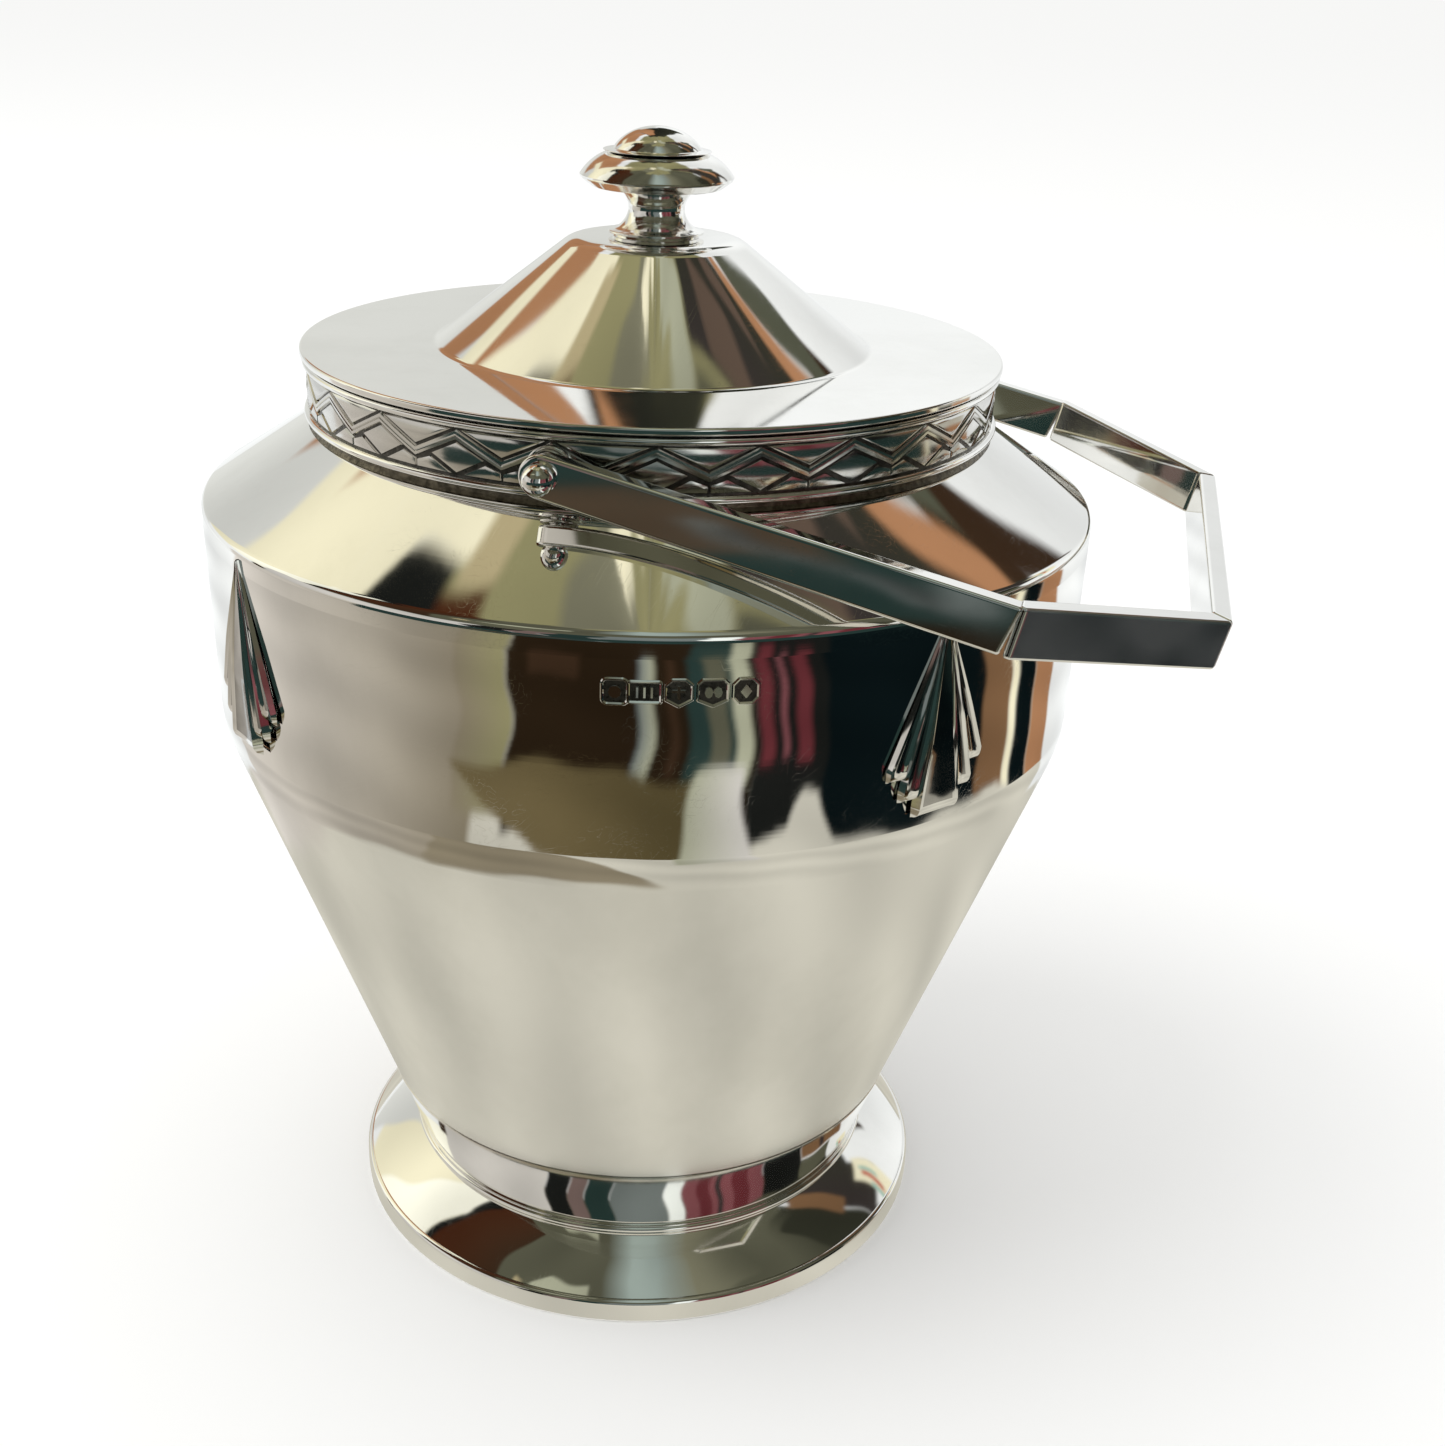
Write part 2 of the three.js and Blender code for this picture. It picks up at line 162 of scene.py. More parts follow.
def outline(corners, closed=False):
    """Corners (x, y) or (x, y, fillet) as points, with margins beside each straight run's ends."""
    spots = [Vector(c[:2]) for c in corners]
    count = len(spots)
    runs = []
    for i, corner in enumerate(corners):
        inside = closed or 0 < i < count - 1
        if len(corner) > 2 and inside:
            runs.append(fillet(spots[i - 1], spots[i], spots[(i + 1) % count], corner[2]))
        else:
            runs.append([spots[i]])
    points = []
    for i, run in enumerate(runs):
        points += run
        if i + 1 < count or closed:
            a, b = run[-1], runs[(i + 1) % count][0]
            if (b - a).length > 4 * SUPPORT:
                step = (b - a).normalized() * SUPPORT
                points += [a + step, b - step]
    return points


def bezier(*controls, steps=8):
    """Points along a quadratic or cubic curve, as corners for outline."""
    def at(t):
        level = [Vector(c) for c in controls]
        while len(level) > 1:
            level = [a.lerp(b, t) for a, b in zip(level, level[1:])]
        return tuple(level[0])
    return [at(i / steps) for i in range(steps + 1)]


def arc(x, y, radius, start, end, steps=8):
    """Points on an arc about (x, y), angles in degrees, as corners for outline."""
    angles = [math.radians(start + (end - start) * i / steps) for i in range(steps + 1)]
    return [(x + radius * math.cos(a), y + radius * math.sin(a)) for a in angles]


def spun(points, closed, turns, place):
    """Rings of points round an axis: place(radius, height, turn in degrees) gives each point."""
    verts = [place(p[0], p[1], 360 * k / turns) for k in range(turns) for p in points]
    count = len(points)
    faces = []
    for k in range(turns):
        here, there = k * count, (k + 1) % turns * count
        for i in range(count if closed else count - 1):
            j = (i + 1) % count
            quad = [here + i, there + i, there + j, here + j]
            on_axis = [points[i][0] < 1e-6, points[j][0] < 1e-6]
            if on_axis[0]:
                quad.remove(there + i)
            if on_axis[1]:
                quad.remove(there + j)
            if not all(on_axis):
                faces.append(quad)
    return verts, faces


def lathe(name, corners, material, body_name, slot, replaces, closed=True, turns=TURNS):
    """A turned piece about the vessel's axis."""
    points = outline(corners, closed)
    verts, faces = spun(points, closed, turns, lambda r, z, turn: turned_point(r, turn, z))
    piece(name, verts, faces, material, body_name, slot, replaces)


def facet_stack(loops):
    """Faces that join equal loops of points in order, closed by a face on the last loop."""
    verts = [p for loop in loops for p in loop]
    count = len(loops[0])
    faces = []
    for level in range(len(loops) - 1):
        a, b = level * count, (level + 1) * count
        faces += [[a + i, a + (i + 1) % count, b + (i + 1) % count, b + i] for i in range(count)]
    faces.append([(len(loops) - 1) * count + i for i in range(count)])
    return verts, faces


def shrunk(points, margin):
    """A convex outline moved in by a margin on every side."""
    count = len(points)
    centre = sum((Vector(p) for p in points), Vector((0, 0))) / count
    moved = []
    for i in range(count):
        a, b, c = (Vector(points[(i + k - 1) % count]) for k in range(3))
        sides = []
        for p, q in ((a, b), (b, c)):
            normal = Vector((p.y - q.y, q.x - p.x)).normalized()
            sides.append(normal if normal.dot(centre - p) > 0 else -normal)
        bisector = (sides[0] + sides[1]).normalized()
        moved.append(b + bisector * margin / max(0.2, bisector.dot(sides[0])))
    return moved


def join(parts):
    """Several (points, faces) as one."""
    verts, faces = [], []
    for part_verts, part_faces in parts:
        faces += [[i + len(verts) for i in face] for face in part_faces]
        verts += part_verts
    return verts, faces


# ------------------------------------------------------------------ materials
def add(tree, kind, inputs=None, **settings):
    """A shader node with its settings, and its inputs as values or as links from sockets."""
    made = tree.nodes.new(kind)
    for key, value in settings.items():
        setattr(made, key, value)
    for key, value in (inputs or {}).items():
        if isinstance(value, bpy.types.NodeSocket):
            tree.links.new(value, made.inputs[key])
        else:
            made.inputs[key].default_value = value
    return made


def millimetres(tree, scale=(1, 1, 1), turn=(0, 0, 0)):
    """The piece's own coordinates, in millimetres times a scale."""
    place = add(tree, "ShaderNodeTexCoord").outputs["Object"]
    turned = add(tree, "ShaderNodeVectorRotate", {"Vector": place, "Rotation": turn},
                 rotation_type="EULER_XYZ").outputs[0]
    factors = tuple(s / MM for s in scale)
    return add(tree, "ShaderNodeVectorMath", {0: turned, 1: factors}, operation="MULTIPLY").outputs[0]


def noise(tree, scale, detail=2.0, roughness=0.5, distortion=0.0, turn=(0, 0, 0)):
    place = millimetres(tree, scale, turn)
    return add(tree, "ShaderNodeTexNoise", {"Vector": place, "Scale": 1.0, "Detail": detail,
               "Roughness": roughness, "Distortion": distortion}).outputs["Fac"]


def ranged(tree, value, from_low, from_high, to_low, to_high):
    return add(tree, "ShaderNodeMapRange", {"Value": value, "From Min": from_low, "From Max": from_high,
               "To Min": to_low, "To Max": to_high}, interpolation_type="SMOOTHSTEP").outputs["Result"]


def math_node(tree, operation, a, b):
    return add(tree, "ShaderNodeMath", {0: a, 1: b}, operation=operation).outputs[0]


def hairlines(tree, turn, length):
    """Scratches: thin contour lines of a noise drawn out along one direction, broken up by another."""
    field = noise(tree, (1 / length, 1.3, 1.3), detail=0.0, turn=turn)
    offset = math_node(tree, "ABSOLUTE", math_node(tree, "SUBTRACT", field, 0.5), 0.0)
    line = ranged(tree, offset, 0.0, 0.004, 1.0, 0.0)
    mask = ranged(tree, noise(tree, (0.11, 0.11, 0.11), turn=turn), 0.55, 0.65, 0.0, 1.0)
    return math_node(tree, "MULTIPLY", line, mask)


def spin_lines(tree, pitch):
    """Fine lines round the vessel's axis, as polishing on a lathe leaves them."""
    place = millimetres(tree)
    centred = add(tree, "ShaderNodeVectorMath", {0: place, 1: (-AXIS_X, 0, 0)}, operation="ADD").outputs[0]
    flat = add(tree, "ShaderNodeVectorMath", {0: centred, 1: (1, 1, 0)}, operation="MULTIPLY").outputs[0]
    radius = add(tree, "ShaderNodeVectorMath", {0: flat}, operation="LENGTH").outputs["Value"]
    height = add(tree, "ShaderNodeSeparateXYZ", {0: centred}).outputs["Z"]
    across = math_node(tree, "ADD", radius, height)
    drift = noise(tree, (0.012, 0.012, 0.012), detail=1.0)
    spread = math_node(tree, "DIVIDE", across, pitch)
    place = add(tree, "ShaderNodeCombineXYZ", {"X": spread, "Y": drift}).outputs[0]
    return add(tree, "ShaderNodeTexNoise", {"Vector": place, "Scale": 1.0, "Detail": 3.0}).outputs["Fac"]


def silver(name, roughness, waviness=0.02, wave_length=18.0, lines=0.0, scratches=0.0,
           clean=(0.93, 0.92, 0.895), worn=(0.86, 0.85, 0.82), satin=None, bloom=0.0):
    """Silver metal. waviness, lines and scratches are the heights in millimetres of the sheet's
    long waves, of the polishing lines and of the hairline scratches. clean and worn are its
    colours where it is bright and where a film dulls it. satin is (height below which it is
    dull, height above which it is bright, added roughness). bloom is the share of the light
    that a greasy film scatters where it is thickest."""
    made = bpy.data.materials.new(name)
    made.use_nodes = True
    tree = made.node_tree
    shader = tree.nodes["Principled BSDF"]
    shader.inputs["Metallic"].default_value = 1.0

    smudge = noise(tree, (0.045, 0.045, 0.06), detail=5.0, roughness=0.6)
    if bloom:
        clear = ranged(tree, noise(tree, (0.09, 0.09, 0.09), detail=1.0), 0.35, 0.65,
                       1.0 - 0.25 * bloom, 1.0 - bloom)
        tree.links.new(clear, shader.inputs["Metallic"])
    haze = ranged(tree, smudge, 0.35, 0.7, roughness * 0.75, roughness * 1.5)
    if satin:
        height = add(tree, "ShaderNodeSeparateXYZ", {0: millimetres(tree)}).outputs["Z"]
        dulling = ranged(tree, height, satin[0], satin[1], satin[2], 0.0)
        haze = math_node(tree, "ADD", haze, dulling)
    scratch = None
    for turn, length in (((0.0, 0.5, 0.3), 26.0), ((0.0, -0.7, 1.3), 17.0), ((0.0, 1.25, 2.2), 34.0)):
        layer = hairlines(tree, turn, length)
        scratch = layer if scratch is None else math_node(tree, "MAXIMUM", scratch, layer)
    dull = math_node(tree, "MULTIPLY", scratch, 0.25 * min(1.0, scratches * 500))
    haze = math_node(tree, "ADD", haze, dull)
    tree.links.new(haze, shader.inputs["Roughness"])

    film = ranged(tree, noise(tree, (0.03, 0.03, 0.02), detail=6.0, roughness=0.65), 0.42, 0.72, 0.0, 1.0)
    colour = add(tree, "ShaderNodeMix", {"Factor": film, 6: (*clean, 1), 7: (*worn, 1)}, data_type="RGBA")
    tree.links.new(colour.outputs[2], shader.inputs["Base Color"])

    per = 1 / wave_length
    waves = math_node(tree, "MULTIPLY", noise(tree, (per, per, per), detail=1.0), waviness)
    relief = math_node(tree, "SUBTRACT", waves, math_node(tree, "MULTIPLY", scratch, scratches))
    if lines:
        relief = math_node(tree, "ADD", relief, math_node(tree, "MULTIPLY", spin_lines(tree, 0.6), lines))
    bump = add(tree, "ShaderNodeBump", {"Height": relief, "Distance": MM, "Strength": 1.0})
    tree.links.new(bump.outputs[0], shader.inputs["Normal"])
    return made


def oxidised(name, colour, roughness, grain):
    """Silver left dark in its recesses: a grainy, uneven tarnish."""
    made = bpy.data.materials.new(name)
    made.use_nodes = True
    tree = made.node_tree
    shader = tree.nodes["Principled BSDF"]
    shader.inputs["Metallic"].default_value = 1.0
    patch = ranged(tree, noise(tree, (0.8, 0.8, 0.8), detail=4.0), 0.35, 0.7, 0.0, 1.0)
    dark = tuple(c * 0.45 for c in colour)
    mix = add(tree, "ShaderNodeMix", {"Factor": patch, 6: (*colour, 1), 7: (*dark, 1)}, data_type="RGBA")
    tree.links.new(mix.outputs[2], shader.inputs["Base Color"])
    fine = noise(tree, (3.0, 3.0, 3.0), detail=4.0)
    tree.links.new(ranged(tree, fine, 0.3, 0.7, roughness * 0.7, roughness * 1.3), shader.inputs["Roughness"])
    height = math_node(tree, "MULTIPLY", fine, grain)
    bump = add(tree, "ShaderNodeBump", {"Height": height, "Distance": MM, "Strength": 1.0})
    tree.links.new(bump.outputs[0], shader.inputs["Normal"])
    return made


BODY = silver("body silver", 0.035, waviness=0.11, wave_length=32.0, lines=0.0006, scratches=0.0005,
              satin=(BEND_Z - 3, BEND_Z + 1, 0.14))
TURNED = silver("turned silver", 0.04, waviness=0.02, wave_length=22.0, lines=0.0006, scratches=0.0004)
LID = silver("lid silver", 0.05, waviness=0.05, wave_length=30.0, lines=0.0008, scratches=0.0004)
HANDLE = silver("handle silver", 0.05, waviness=0.03, wave_length=14.0, scratches=0.0003)
HANDLED = silver("fingered silver", 0.05, waviness=0.03, wave_length=14.0, scratches=0.0003, bloom=0.05)
FINIAL = silver("finial silver", 0.10, waviness=0.004, wave_length=6.0, lines=0.0004)
SMALL = silver("small parts silver", 0.06, waviness=0.004, wave_length=3.0, scratches=0.0002)
# Darkened silver for the hollows of the pleats: its dark colours are painted shade and painted dark
# reflection.
SHADED_FLUTES = silver("flutes with painted shade", 0.09, waviness=0.004, wave_length=3.0,
                clean=(0.50, 0.49, 0.47), worn=(0.24, 0.235, 0.22))
CHASED = silver("chased silver", 0.11, waviness=0.006, wave_length=3.0, scratches=0.0002,
                clean=(0.76, 0.75, 0.72), worn=(0.50, 0.49, 0.46))
INSIDE = silver("satin silver", 0.28, waviness=0.03, wave_length=25.0, lines=0.002, scratches=0.001,
                clean=(0.84, 0.83, 0.80), worn=(0.70, 0.68, 0.63))
GROUND = oxidised("oxidised recess", (0.13, 0.125, 0.115), 0.36, 0.01)
SOLDER = oxidised("old solder", (0.20, 0.175, 0.13), 0.42, 0.05)


# ------------------------------------------------------------------ foot
FOOT_RIM_WIDTH = 2.2
FLANGE_PULL = (38.86, 6.75)    # middle control point of the flange's curve
FLARE_PULL = (36.6, 15.6)      # the same for the foot ring's


def foot():
    inner = FOOT_RADIUS - FOOT_RIM_WIDTH
    lathe("foot_rim", [(inner, 0), (FOOT_RADIUS - 0.1, 0, 0.3), (FOOT_RADIUS, 0.9, 1.0),
                       (FOOT_RADIUS, FOOT_RIM_TOP, 0.9), (inner, FOOT_RIM_TOP)],
          TURNED, "vessel", "polished_silver", ["foot_rim_wire"])
    edge = (FOOT_RADIUS - 0.75, FOOT_RIM_TOP + CLEAR)
    waist = (BAND_BOTTOM_RADIUS, BAND_BOTTOM - 0.9)
    top = bezier(edge, FLANGE_PULL, waist, steps=24)
    under = [(r - 0.6, z - 0.7) for r, z in reversed(top)][:-2]
    lathe("foot_cheek", [*top, *under, (inner + 0.1, FOOT_RIM_TOP + CLEAR)],
          TURNED, "vessel", "polished_silver", ["foot_flange"])
    lathe("foot_bead_wire", arc(BAND_BOTTOM_RADIUS + 0.2, BAND_BOTTOM - 0.4, 0.5, 0, 345, 16),
          TURNED, "vessel", "polished_silver", ["foot_bead"])
    band_end = BAND_TOP + OVERLAP
    flare = bezier((BAND_BOTTOM_RADIUS, BAND_BOTTOM), FLARE_PULL, (BAND_TOP_RADIUS, band_end), steps=16)
    lathe("foot_band", [(BAND_BOTTOM_RADIUS - SHEET, BAND_BOTTOM), *flare,
                        (BAND_TOP_RADIUS - SHEET, band_end)],
          TURNED, "vessel", "polished_silver", ["foot_ring"])


# ------------------------------------------------------------------ body
def body():
    foot_r = BAND_TOP_RADIUS - 0.1
    lathe("body_wall", [(0, CONE_BOTTOM), (foot_r, CONE_BOTTOM, 0.3), (BEND_RADIUS, BEND_Z, BEND_FILLET),
                        (DRUM_RADIUS, WALL_TOP), (DRUM_RADIUS - SHEET, WALL_TOP),
                        (BEND_RADIUS - SHEET, BEND_Z, BEND_FILLET),
                        (foot_r - SHEET, CONE_BOTTOM + SHEET, 2.0), (0, CONE_BOTTOM + SHEET)],
          BODY, "vessel", "polished_silver", ["body_shell"], closed=False)
    inner = COLLAR_RADIUS + CLEAR
    lathe("shoulder_cap", [(DRUM_RADIUS, WALL_TOP), (DRUM_RADIUS, DRUM_TOP + 0.3, SHOULDER_FILLET),
                           (inner, SHOULDER_TOP), (inner, SHOULDER_TOP - SHEET),
                           (DRUM_RADIUS - SHEET, DRUM_TOP - SHEET), (DRUM_RADIUS - SHEET, WALL_TOP)],
          BODY, "vessel", "polished_silver", ["shoulder"])


# ------------------------------------------------------------------ pleated fans
# From the middle outwards: spread of both edges for each millimetre down, how far down the
# pleat ends, and the height of its face over the drum.
PLEATS = [
    {"inner": -0.128, "outer": 0.128, "drop": 25.0, "height": 1.0},
    {"inner": 0.150, "outer": 0.248, "drop": 22.6, "height": 0.7},
    {"inner": 0.268, "outer": 0.392, "drop": 19.7, "height": 0.4},
]
PLEAT_ROWS = 14
PLEAT_STRIPS = 8       # faces across a pleat
FLUTE_STRIPS = (3, 4)  # those in its hollow, painted dark: painted shade and painted dark reflection
LIP = 0.26             # how far the thin lip along each edge stands over the pleat's face
LIP_SPREAD = 0.014     # half the lip's width, for each millimetre down
FLUTE = 0.12           # depth of the hollow between the lips
END_ROWS = 5
END_LENGTH = 1.5       # of the rounded lower end of each pleat
FAN_START = 0.03       # the part of its length at which each pleat starts


def fan(name, azimuth, replaced):
    """Pleats that spread downwards and end in steps, the middle one longest and proudest."""
    parts = [pleat_mesh(PLEATS[0], azimuth, 1)]
    for pleat in PLEATS[1:]:
        parts += [pleat_mesh(pleat, azimuth, side) for side in (1, -1)]
    made = piece(name, *join(parts), [SMALL, SHADED_FLUTES], "vessel", "polished_silver", [replaced])
    # Faces in the pleats' hollows take the second silver, whose dark colour is painted shade.
    for number, face in enumerate(made.data.polygons):
        row, strip = divmod(number, PLEAT_STRIPS)
        if strip in FLUTE_STRIPS and row % (PLEAT_ROWS + END_ROWS) < PLEAT_ROWS:
            face.material_index = 1


def pleat_mesh(pleat, azimuth, side):
    """One pleat: a shallow flute between two lips, with steep sides and a rounded lower end."""
    start, end, height = pleat["inner"], pleat["outer"], pleat["height"]
    middle = (start + end) / 2
    section = [(start - LIP_SPREAD, 0.0), (start, height + LIP), (start + LIP_SPREAD, height + 0.6 * LIP),
               (start + 2 * LIP_SPREAD, height), (middle, height - FLUTE), (end - 2 * LIP_SPREAD, height),
               (end - LIP_SPREAD, height + 0.6 * LIP), (end, height + LIP), (end + LIP_SPREAD, 0.0)]

    def line_at(depth, z, share):
        turns = [math.degrees(side * spread * depth / DRUM_RADIUS) for spread, _ in section]
        return [turned_point(DRUM_RADIUS + relief * share, azimuth + turn, z)
                for turn, (_, relief) in zip(turns, section)]

    length = pleat["drop"] - END_LENGTH
    lines = []
    for row in range(PLEAT_ROWS + 1):
        down = FAN_START + (1 - FAN_START) * row / PLEAT_ROWS
        lines.append(line_at(length * down, FAN_TOP - length * down, 0.3 + 0.7 * min(1.0, 1.6 * down)))
    for row in range(1, END_ROWS + 1):
        angle = math.pi / 2 * row / END_ROWS
        level = FAN_TOP - length - END_LENGTH * math.sin(angle)
        lines.append(line_at(length, level, math.cos(angle) - 0.02))
    count = len(section)
    faces = [[row * count + i, row * count + i + 1, (row + 1) * count + i + 1, (row + 1) * count + i]
             for row in range(len(lines) - 1) for i in range(count - 1)]
    return [p for line in lines for p in line], faces


def fans():
    for number in range(4):
        node = f"fan_{number + 1}"
        middle = (low(node) + high(node)) / 2
        azimuth = math.degrees(math.atan2(middle.x - AXIS_X, -middle.y))
        fan(f"pleated_fan_{number + 1}", azimuth, node)


# ------------------------------------------------------------------ struck marks
MARK_AZIMUTHS = (10.9, 14.0, 17.6, 21.2, 24.7)
MARK_Z = 103.5
MARK_HEIGHT = 3.1
MARK_FIELD = 0.03      # height of a mark's dark field over the drum
MARK_RIM = 0.2         # height of its raised edge
MARK_FOOT = -0.02      # height of that edge's foot, just inside the drum
MARK_MOTIF = 0.17      # height of its device


def mark_shapes():
    """Outline and motifs of each punch: plain geometric devices, about three millimetres high."""
    half = MARK_HEIGHT / 2
    lozenge = [(0.75, 0), (0, 0.95), (-0.75, 0), (0, -0.95)]
    disc = arc(0, 0, 0.8, 0, 324, 9)
    bars = [[(x - 0.2, -0.7), (x + 0.2, -0.7), (x + 0.2, 0.7), (x - 0.2, 0.7)] for x in (-0.8, 0, 0.8)]
    ovals = [[(x + 0.55 * c, 0.75 * s) for c, s in arc(0, 0, 1, 0, 315, 7)] for x in (-0.5, 0.55)]
    cross = [[(-0.22, -0.85), (0.22, -0.85), (0.22, 0.85), (-0.22, 0.85)],
             [(-0.8, -0.05), (0.8, -0.05), (0.8, 0.38), (-0.8, 0.38)]]
    return [
        (outline([(-1.5, -half, 0.7), (1.5, -half, 0.7), (1.5, half, 0.7), (-1.5, half, 0.7)], True), [disc]),
        (outline([(-1.9, -1.3, 0.3), (1.9, -1.3, 0.3), (1.9, 1.3, 0.3), (-1.9, 1.3, 0.3)], True), bars),
        (outline([(-1.55, -0.9, 0.2), (0, -half - 0.2, 0.2), (1.55, -0.9, 0.2), (1.55, 0.9, 0.2),
                  (0.8, half, 0.2), (-0.8, half, 0.2), (-1.55, 0.9, 0.2)], True), cross),
        (outline([(-1.75, -1.0, 0.2), (0, -half - 0.2, 0.2), (1.75, -1.0, 0.2), (1.75, 1.0, 0.2),
                  (1.2, half, 0.2), (-1.2, half, 0.2), (-1.75, 1.0, 0.2)], True), ovals),
        (outline([(-1.5, -0.8, 0.2), (-0.8, -half, 0.2), (0.8, -half, 0.2), (1.5, -0.8, 0.2), (1.5, 0.8, 0.2),
                  (0.8, half, 0.2), (-0.8, half, 0.2), (-1.5, 0.8, 0.2)], True), [lozenge]),
    ]


def on_drum(azimuth, z, points, relief):
    """Points (across, up) from a place on the drum, raised from it."""
    return [turned_point(DRUM_RADIUS + relief, azimuth + math.degrees(p[0] / DRUM_RADIUS), z + p[1])
            for p in points]


def struck_marks():
    for number, (centre, (shape, motifs)) in enumerate(zip(MARK_AZIMUTHS, mark_shapes()), 1):
        def ring_at(margin, relief):
            return on_drum(centre, MARK_Z, shrunk(shape, margin), relief)
        rim = facet_stack([ring_at(-0.12, MARK_FOOT), ring_at(0.0, MARK_RIM), ring_at(0.12, MARK_RIM),
                           ring_at(0.28, MARK_FIELD)])
        rim[1].pop()  # the rim stays open over the field
        raised = [facet_stack([on_drum(centre, MARK_Z, motif, 0.0),
                               on_drum(centre, MARK_Z, shrunk(motif, 0.08), MARK_MOTIF)]) for motif in motifs]
        piece(f"mark_rim_{number}", *join([rim, *raised]), SMALL, "vessel", "polished_silver")
        field = facet_stack([ring_at(0.26, 0.0), ring_at(0.27, MARK_FIELD)])
        piece(f"mark_field_{number}", *field, GROUND, "vessel", "oxidised_silver")


# ------------------------------------------------------------------ neck
REPEATS = 24
PITCH = 360 / REPEATS
PEAK_Z = 126.3
VALLEY_Z = 123.5
ZIGZAG_STEPS = 4       # facets along each leg of the zigzag
# Across the zigzag band: height over its middle line, and relief.
BAND_SECTION = [(-0.64, 0.0), (-0.47, 0.34), (-0.13, 0.36), (0.0, 0.2),
                (0.13, 0.36), (0.47, 0.34), (0.64, 0.0)]
# Raised plates over each valley of the band, under each peak, and on both sides under each valley.
# Their corners are (across, height).
OVER_VALLEY = [(-5.7, 127.02), (5.7, 127.02), (0, 124.34)]
UNDER_PEAK = [(0, 125.45), (3.7, 123.7), (0, 121.8), (-3.7, 123.7)]
UNDER_VALLEY = [(0.1, 121.65), (5.3, 121.65), (2.1, 123.3), (0.1, 122.6)]


def on_frieze(azimuth, z, relief):
    return turned_point(FRIEZE_RADIUS + relief, azimuth, z)


def zigzag_band():
    """One raised band round the neck, with a peak on each pivot."""
    stations = REPEATS * 2 * ZIGZAG_STEPS
    count = len(BAND_SECTION)
    verts = []
    for s in range(stations):
        azimuth = s * PITCH / (2 * ZIGZAG_STEPS)
        share = abs((azimuth / PITCH + 0.5) % 1 - 0.5) * 2
        middle = PEAK_Z + (VALLEY_Z - PEAK_Z) * share
        verts += [on_frieze(azimuth, middle + up, relief) for up, relief in BAND_SECTION]
    faces = []
    for s in range(stations):
        here, there = s * count, (s + 1) % stations * count
        faces += [[here + i, there + i, there + i + 1, here + i + 1] for i in range(count - 1)]
    return verts, faces


def frieze_plate(azimuth, corners):
    """A raised plate with bevelled sides and a slight crown. Corners are (across, height)."""
    def loop(margin, relief):
        return [on_frieze(azimuth + math.degrees(p[0] / FRIEZE_RADIUS), p[1], relief)
                for p in shrunk(corners, margin)]
    return facet_stack([loop(0.0, 0.0), loop(0.1, 0.24), loop(0.45, 0.3)])


def neck():
    lathe("neck_tube", [(COLLAR_INNER, NECK_BOTTOM), (COLLAR_RADIUS, NECK_BOTTOM),
                        (COLLAR_RADIUS, NECK_TOP - CLEAR, 0.2), (COLLAR_INNER, NECK_TOP - CLEAR, 0.3)],
          INSIDE, "vessel", "satin_silver", ["neck_collar"])
    lathe("frieze_ground", [(COLLAR_RADIUS + 0.05, SEAM_Z + 0.3), (FRIEZE_RADIUS, SEAM_Z + 0.3),
                            (FRIEZE_RADIUS, NECK_TOP - 0.1), (COLLAR_RADIUS + 0.05, NECK_TOP - 0.1)],
          GROUND, "vessel", "oxidised_silver", ["frieze_band"])
    for name, node in (("neck_wire_lower", "neck_bottom_wire"), ("neck_wire_upper", "neck_top_wire")):
        bottom, top = low(node).z, high(node).z
        half = (top - bottom) / 2
        nose = arc(WIRE_RADIUS - half, bottom + half, half, -90, 90, 10)
        lathe(name, [(FRIEZE_RADIUS - 0.1, bottom), *nose, (FRIEZE_RADIUS - 0.1, top)],
              TURNED, "vessel", "polished_silver", [node])
    raised = [zigzag_band()]
    for k in range(REPEATS):
        peak = k * PITCH
        valley = peak + PITCH / 2
        raised.append(frieze_plate(valley, OVER_VALLEY))
        raised.append(frieze_plate(peak, UNDER_PEAK))
        for side in (1, -1):
            raised.append(frieze_plate(valley, [(side * x, z) for x, z in UNDER_VALLEY]))
    piece("frieze_relief", *join(raised), CHASED, "vessel", "polished_silver")
    seam = [(SEAM_RADIUS + 0.45, SEAM_Z - 0.27), (SEAM_RADIUS + 0.2, SEAM_Z + 0.2, 0.2),
            (SEAM_RADIUS + 0.12, low("neck_bottom_wire").z + 0.1), (SEAM_RADIUS - 0.3, SEAM_Z - 0.2)]
    lathe("neck_solder", seam, SOLDER, "vessel", "oxidised_silver", [])


# ------------------------------------------------------------------ handle
grip_middle = (low("handle_grip") + high("handle_grip")) / 2
GRIP_REACH = math.hypot(grip_middle.x - HINGE.x, grip_middle.z - HINGE.z) + BAR_THICKNESS / 2
DROOP = math.atan2(HINGE.z - grip_middle.z, grip_middle.x - HINGE.x)
HALF_WIDTH = high("handle_arm_far").y
PIVOT_HALF = 2.6       # half the bar's height at the pivot
ARM_END_HALF = 3.05    # the same at its far end
ARM_END_LEAN = 0.45    # how far the arm's end leans out of square, along the bar
GRIP_HALF = 3.15       # half the height of the knees and the grip
KNEE_INSET = 0.12      # of the knee's outer face behind the arm's
EDGE = 0.5             # width of the rounded edges


def handle_place(x, y, z):
    """From the handle's own frame, with X out from the hinge along the arms, to the frame's."""
    turn = Matrix.Rotation(DROOP, 3, "Y")
    return Vector((HINGE.x, 0, HINGE.z)) + turn @ Vector((x, y, z))


